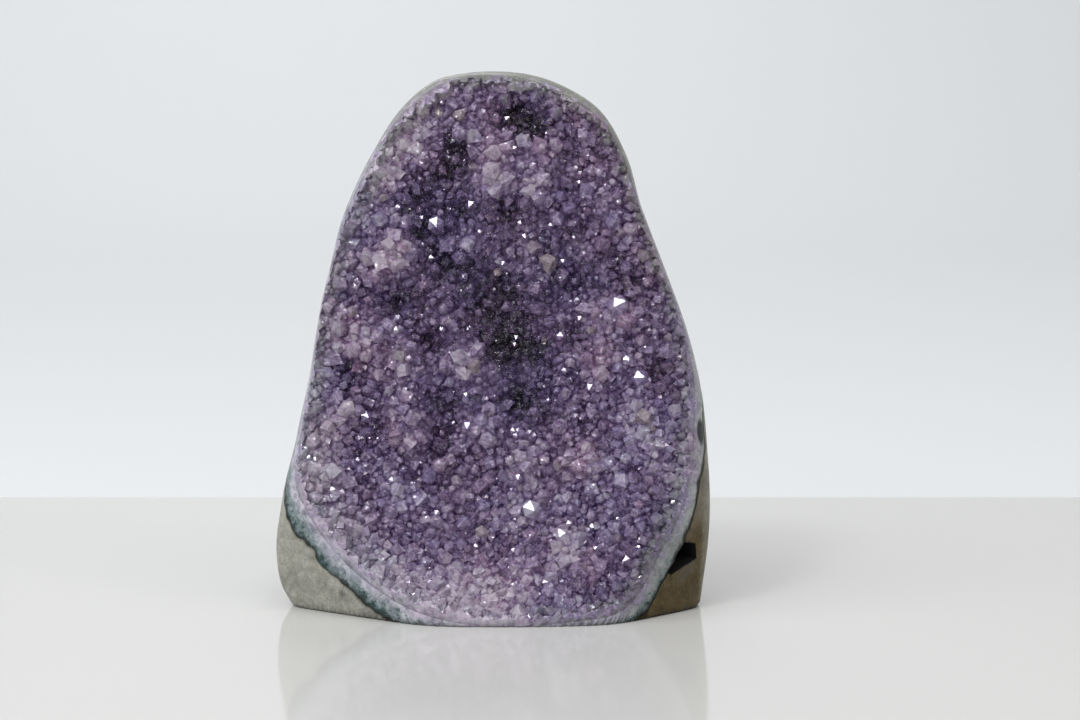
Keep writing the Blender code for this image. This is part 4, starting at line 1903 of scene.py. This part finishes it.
    def grow(self) -> Crystals:
        """Place every crystal: large ones on the mounds, then each generation in the room left.

        Returns:
            The crystals.
        """
        directions = unit(self.dice.normal(size=(self.candidates, 3)))
        directions[:, 1] = np.abs(directions[:, 1]) + 1e-3
        wall = self.form.layer_points(unit(directions), 0.0)
        wall = wall[(self.body_depth(wall) > -self.rim) & (wall[:, 2] > -3)]
        normals = self.form.layer_normal(wall)
        lift = self.lift(wall)
        seats = Seats(wall + normals * lift[:, None])
        for mound in self.mounds:
            pool = np.flatnonzero(mound.share(wall) > self.large_share)
            if mound.large and len(pool):
                seats.fill(pool, self.between(self.large, len(pool)), self.large_apart, mound.large)
        stem = self.between(self.large_stem, len(seats.radius))
        lean = np.full(len(seats.radius), self.large_lean)
        for generation in self.generations:
            pool = self.dice.permutation(len(wall))
            sizes = self.between(generation.radius, len(pool))
            count = seats.fill(pool, sizes, generation.apart, generation.most)
            least, most = (2 * radius for radius in generation.radius)
            log.info("crystals of %.1f to %.1f mm: %d", least, most, count)
            stem = np.append(stem, self.between(generation.stem, count))
            lean = np.append(lean, np.full(count, generation.lean))
        total = len(seats.radius)
        normal = self.fanned(wall[seats.taken], normals[seats.taken])
        axis = self.leaned(normal, lean)
        habits = np.array([habit.value for habit in Habit])
        crystals = Crystals(
            place=seats.place,
            axis=axis,
            side=unit(np.cross(axis, self.dice.normal(size=(total, 3)))),
            radius=seats.radius,
            stem=stem * seats.radius,
            root=np.full(total, self.root),
            point=seats.radius * self.between(self.point, total),
            habit=habits[self.dice.integers(0, len(habits), total)],
            ring=self.between(self.ring, (total, 6)),
            tip=self.between(self.tip, (total, 2)),
        )
        self.turn_glints(crystals, normal)
        return crystals

    def fanned(self, points: Array, normals: Array, step: float = 0.5) -> Array:
        """Return the normals, leaned outward on the mounds and dips.

        Args:
            points: Places, one row each.
            normals: The directions that they face.
            step: How far to either side the slope is felt for.

        Returns:
            One unit direction a point.
        """
        slopes = [
            self.bulge(points + step * side) - self.bulge(points - step * side) for side in np.eye(3)
        ]
        slope = np.stack(slopes, axis=1) / (2 * step)
        slope -= normals * np.sum(slope * normals, axis=1, keepdims=True)
        return unit(normals - self.fan * slope)

    def leaned(self, normals: Array, most: Array) -> Array:
        """Return directions leaned off the normals.

        Args:
            normals: Unit directions, one row each.
            most: How many degrees each may lean.

        Returns:
            One unit direction a normal.
        """
        side = unit(np.cross(normals, self.dice.normal(size=normals.shape)))
        lean = np.radians(most * np.sqrt(self.dice.uniform(0, 1, len(normals))))[:, None]
        return normals * np.cos(lean) + side * np.sin(lean)

    def turn_glints(self, crystals: Crystals, normals: Array) -> None:
        """Turn some crystals so that a face of each mirrors a lamp to the eye.

        Args:
            crystals: The crystals, which are changed.
            normals: The directions that their places face.
        """
        chosen = [crystals.nearest(spot, self.glint_least) for spot in self.glint_places]
        least, most = self.glint_radius
        others = np.flatnonzero((crystals.radius > least) & (crystals.radius < most))
        chosen += self.dice.choice(others, self.glint_others, replace=False).tolist()
        lamps = np.array(self.glint_lamps)
        third = math.pi / 6
        angle = math.atan(self.glint_steep / math.cos(third))
        self.glints = []
        for number, index in enumerate(dict.fromkeys(chosen)):
            place, normal = crystals.place[index], normals[index]
            named = number < len(self.glint_places)
            lamp = lamps[0 if named else self.dice.integers(0, len(lamps))]
            half = unit(unit(np.array(self.eye) - place) + unit(lamp - place))
            across = unit(half * (normal @ half) - normal)
            axis = half * math.cos(angle) - across * math.sin(angle)
            if not named and axis @ normal < self.glint_facing:
                continue
            radial = half * math.sin(angle) + across * math.cos(angle)
            crystals.axis[index] = axis
            crystals.side[index] = radial * math.cos(third) - np.cross(axis, radial) * math.sin(third)
            crystals.point[index] = self.glint_steep * crystals.radius[index]
            crystals.stem[index] = self.glint_stem * crystals.radius[index]
            crystals.habit[index] = Habit.SIX_FACED.value
            crystals.ring[index] = 1.0
            crystals.tip[index] = 0.0
            self.glints.append(index)

    def shade(self, points: Array) -> tuple[Array, Array]:
        """Return how pale and how rosy the crystals are at points.

        Args:
            points: Places, one row each.

        Returns:
            The tones, 0 near black and 1 near white, and the rose shares.
        """
        tone = np.full(len(points), self.tone)
        rose = np.full(len(points), self.rose)
        for values, fields in ((tone, self.tone_waves), (rose, self.rose_waves)):
            for wave in fields:
                values += wave.at(points)
        form, x, z = self.form, points[:, 0], points[:, 2]
        angle, away = form.polar(x, z, form.pocket_centre)
        turn, far = form.polar(x, z, form.body_centre)
        rim = smoothstep(*self.near_rim, away / form.pocket_curve().at(angle))
        edge = smoothstep(*self.near_edge, far / form.body_curve().at(turn))
        tone += np.maximum(rim, edge) * ClosedCurve(self.rim_tone, 360.0).at(np.degrees(angle))
        for mound in self.mounds:
            share = mound.share(points)
            # darker mounds, mostly dips, get extra darkening: partly deeper colour, partly painted shade in
            # the hollows
            strength = self.mound_strength if mound.tone > 0 else self.dip_strength
            tone += strength * mound.tone * share
            rose += mound.rose * share
        return tone, rose

    def mesh(self, body: Mesh) -> Mesh:
        """Grow the crystals and fuse them into one crust, in millimetres.

        Args:
            body: The polished outer form.

        Returns:
            The crust's mesh, with its "source" attribute.
        """
        faces = [tuple(face.vertices) for face in body.polygons]
        self.tree = BVHTree.FromPolygons([tuple(vertex.co) for vertex in body.vertices], faces)
        directions, triangles = cube_ball(self.back_cells)
        slab = mesh_of("crust", self.form.layer_points(directions, self.slab_back), triangles, HIDDEN)
        clip = mesh_of("crust_back", self.form.layer_points(directions, self.back), triangles, HIDDEN)
        steps = [(Cut.TAKE_AWAY, self.druse())]
        self.crystals = self.grow()
        for number, batch in enumerate(self.crystals.batches()):
            steps.append((Cut.JOIN, self.crystals.solid(f"crystals_{number}", batch)))
        log.info("crystals: %d in %d batches", len(self.crystals.radius), len(steps) - 1)
        return carved(slab, [*steps, (Cut.KEEP_COMMON, clip), (Cut.KEEP_COMMON, body)])

    def own_shades(self) -> dict[str, Array]:
        """Draw the shade of every crystal.

        Returns:
            By attribute name, one value a crystal.
        """
        crystals = self.crystals
        total = len(crystals.radius)
        tone, rose = self.shade(crystals.place)
        tone += self.tone_spread * self.dice.normal(size=total)
        tone += self.tone_by_size * (crystals.radius - self.mean_radius)
        rose += self.rose_spread * self.dice.normal(size=total)
        creamy = self.dice.uniform(size=total) < self.cream_chance
        cream = np.where(creamy, self.cream_faint, 0.0)
        clean = np.zeros(total)
        clean[self.glints] = 1.0
        for spot in self.cream_places:
            index = crystals.nearest(spot, self.placed_radius)
            cream[index], tone[index] = self.cream, self.cream_tone
        for spot in self.pale_places:
            index = crystals.nearest(spot, self.placed_radius)
            tone[index], rose[index] = self.pale_tone, self.pale_rose
        return {"tone": tone, "rose": rose, "cream": cream, "clean": clean}

    def dress(self, mesh: Mesh) -> Mesh:
        """Store the tone of every face, and where the crust is polished, faded or raised; the raise paints
        light on the tips and shade in the recesses.

        Args:
            mesh: The fused crust.

        Returns:
            The same mesh.
        """
        source = source_numbers(mesh)
        own = self.own_shades()
        tone, rose = self.shade(centres(mesh))
        shades = {"tone": tone, "rose": rose, "cream": np.zeros(len(tone)), "clean": np.zeros(len(tone))}
        grown = (source >= 0) & (source < self.druse_first)
        for name, values in shades.items():
            values[grown] = own[name][source[grown]]
        druse = source >= self.druse_first
        jumps = self.dice.normal(size=len(self.druse_points)) * self.tone_spread
        # painted shade: the druse in the gaps between crystals a little darker
        tone[druse] += jumps[source[druse] - self.druse_first] + self.druse_tone
        for name in ("tone", "rose"):
            shades[name] = np.clip(shades[name], 0, 1)
        shades["polished"] = (source == POLISHED).astype(float)
        for name, values in shades.items():
            write(mesh, name, values, "FACE")
        points = places(mesh)
        face = CutFace(self.form)
        fade = 1 - smoothstep(0.0, 1.0, self.body_depth(points) / face.curve(face.fade, points))
        write(mesh, "fade", self.fade_most * fade)
        # how far each point stands above its neighbours; the crystal finish paints tips lighter and
        # recesses darker from it, as painted light and shade
        depth = self.form.layer_depth(points)
        rise = local_mean(points, depth, self.rise_pitch) - depth
        write(mesh, "rise", np.clip(rise, -self.rise_most, self.rise_most))
        face.write(mesh)
        mesh.polygons.foreach_set("use_smooth", source < 0)
        return mesh

    def build(self, body: Mesh, material: Material) -> Object:
        """Build the crust in the polished outer form, dress it and place it."""
        mesh = self.dress(self.mesh(body))
        return piece("amethyst_crystals", mesh, material, "amethyst_crust")


# ---- the room


@dataclass(frozen=True)
class SoftLight:
    """A rectangular light that looks at the middle of the cluster."""

    name: str
    place: Place
    size: Pair
    watts: float
    colour: Colour


@dataclass
class Studio:
    """The table, the backdrop, the lights and the camera, in metres."""

    aim: Place = (0.0, 0.0, 0.07)
    table_low: Place = (-0.62, -0.85, -0.02)
    table_high: Place = (0.62, 0.141, 0.0)
    table_edge: float = 0.002
    eye: Place = (0.012, -0.552, 0.1349)
    tilt_down: float = 7.30
    lens: float = 70.0
    sensor: float = 36.0
    lights: tuple[SoftLight, ...] = (
        SoftLight("key_window", (-1.2, -0.95, 1.3), (2.2, 1.9), 22.0, (0.95, 0.97, 1.0)),
        SoftLight("bright_pane", (-0.55, -0.65, 1.15), (0.2, 0.2), 3.6, (0.95, 0.97, 1.0)),
        SoftLight("right_pane", (0.95, -0.55, 0.85), (0.16, 0.3), 1.4, (1.0, 0.96, 0.9)),
        SoftLight("high_pane", (0.25, -0.2, 1.4), (0.3, 0.2), 2.0, (0.96, 0.98, 1.0)),
    )
    wall_light: SoftLight = SoftLight("wall_wash", (-0.6, 1.9, 1.7), (2.4, 0.5), 11.0, (0.98, 0.99, 1.0))
    wall_aim: Place = (0.0, 2.4, 0.35)
    wall_reach: float = 4.0
    wall_back: float = 2.4
    wall_bend: float = 0.9
    wall_height: float = 3.0
    floor_level: float = -0.021
    world: Colour = (0.98, 0.985, 1.0)
    world_strength: float = 0.52

    def table(self, effects: Effects) -> Object:
        """Make the glossy table top, its edges slightly rounded.

        Args:
            effects: The shared node groups.

        Returns:
            The table top.
        """
        mesh = bpy.data.meshes.new("table_top")
        obj = put(bpy.data.objects.new("table_top", mesh))
        low, high = np.array(self.table_low), np.array(self.table_high)
        directions, triangles = cube_ball(1)
        corners = (low + high) / 2 + np.sign(directions) * (high - low) / 2
        mesh.from_pydata(corners.tolist(), [], triangles.tolist())
        bevel = obj.modifiers.new("rounded_edge", "BEVEL")
        bevel.width = self.table_edge
        bevel.segments = 3
        finish = PlainFinish("white_gloss", (0.70, 0.695, 0.665), Gloss(0.06, 0.09, 3.0))
        mesh.materials.append(finish.material(effects))
        return obj

    def backdrop(self, effects: Effects) -> Object:
        """Make the matt backdrop: a floor that curves up into a wall.

        Args:
            effects: The shared node groups.

        Returns:
            The backdrop.
        """
        back, bend, low = self.wall_back, self.wall_bend, self.floor_level
        profile = [(-self.wall_reach, low)]
        for turn in np.radians(np.linspace(0, 90, 19)):
            profile.append((back - bend + bend * math.sin(turn), low + bend * (1 - math.cos(turn))))
        profile.append((back, self.wall_height))
        points = [(side, y, z) for y, z in profile for side in (-self.wall_reach, self.wall_reach)]
        faces = [(2 * k, 2 * k + 1, 2 * k + 3, 2 * k + 2) for k in range(len(profile) - 1)]
        mesh = bpy.data.meshes.new("backdrop")
        mesh.from_pydata(points, [], faces)
        mesh.shade_smooth()
        finish = PlainFinish("pale_wall", (0.80, 0.81, 0.82), Gloss(0.85, 0.95, 2.0))
        mesh.materials.append(finish.material(effects))
        obj = put(bpy.data.objects.new("backdrop", mesh))
        return obj

    def light(self, lamp: SoftLight, aim: Place) -> None:
        """Hang one soft light.

        Args:
            lamp: The light.
            aim: The place that it is turned to.
        """
        data = bpy.data.lights.new(lamp.name, "AREA")
        data.shape = "RECTANGLE"
        data.size, data.size_y = lamp.size
        data.energy = lamp.watts
        data.color = lamp.colour
        obj = put(bpy.data.objects.new(lamp.name, data))
        obj.location = lamp.place
        toward = Vector(aim) - Vector(lamp.place)
        obj.rotation_euler = toward.to_track_quat("-Z", "Y").to_euler()

    def camera(self) -> None:
        """Set the camera."""
        data = bpy.data.cameras.new("camera")
        data.lens = self.lens
        data.sensor_width = self.sensor
        obj = put(bpy.data.objects.new("camera", data))
        obj.location = self.eye
        obj.rotation_euler = (math.radians(90 - self.tilt_down), 0, 0)
        bpy.context.scene.camera = obj

    def build(self, effects: Effects) -> None:
        """Build the whole room.

        Args:
            effects: The shared node groups.
        """
        self.table(effects)
        self.backdrop(effects)
        for lamp in self.lights:
            self.light(lamp, self.aim)
        self.light(self.wall_light, self.wall_aim)
        self.camera()
        scene = bpy.context.scene
        world = bpy.data.worlds.new("soft_room")
        world.use_nodes = True
        sky = world.node_tree.nodes["Background"]
        sky.inputs["Color"].default_value = (*self.world, 1.0)
        sky.inputs["Strength"].default_value = self.world_strength
        scene.world = world
        scene.view_settings.view_transform = "Standard"
        scene.view_settings.look = "None"
        log.info("room: %d lights", len(self.lights))


# ---- all together


def outer_form(form: StoneForm, basalt: BasaltMatrix, cells: int = 104) -> Mesh:
    """Make the polished outer form with its sawn foot, to cut the crust and the lining with.

    Args:
        form: The driving form.
        basalt: The basalt, whose foot is sawn off.
        cells: Grid cells along each edge of the ball that it is made from.

    Returns:
        The closed mesh, its outer faces marked as polished.
    """
    directions, triangles = cube_ball(cells)
    body = mesh_of("outer_form", form.body_points(directions), triangles, POLISHED)
    return carved(body, [(Cut.TAKE_AWAY, basalt.foot())])


def main() -> None:
    """Build the cluster and its room, and note the size of the result."""
    logging.basicConfig(level=logging.INFO, format="%(message)s")
    effects = Effects()
    form = StoneForm()
    basalt = BasaltMatrix(form)
    basalt.build(BasaltFinish().material(effects))
    crust = AmethystCrust(form)
    AgateLining(form).build(outer_form(form, basalt), crust, AgateFinish().material(effects))
    crust.build(outer_form(form, basalt), CrystalFinish().material(effects))
    Studio().build(effects)
    bpy.context.view_layer.update()


if __name__ == "__main__":
    main()
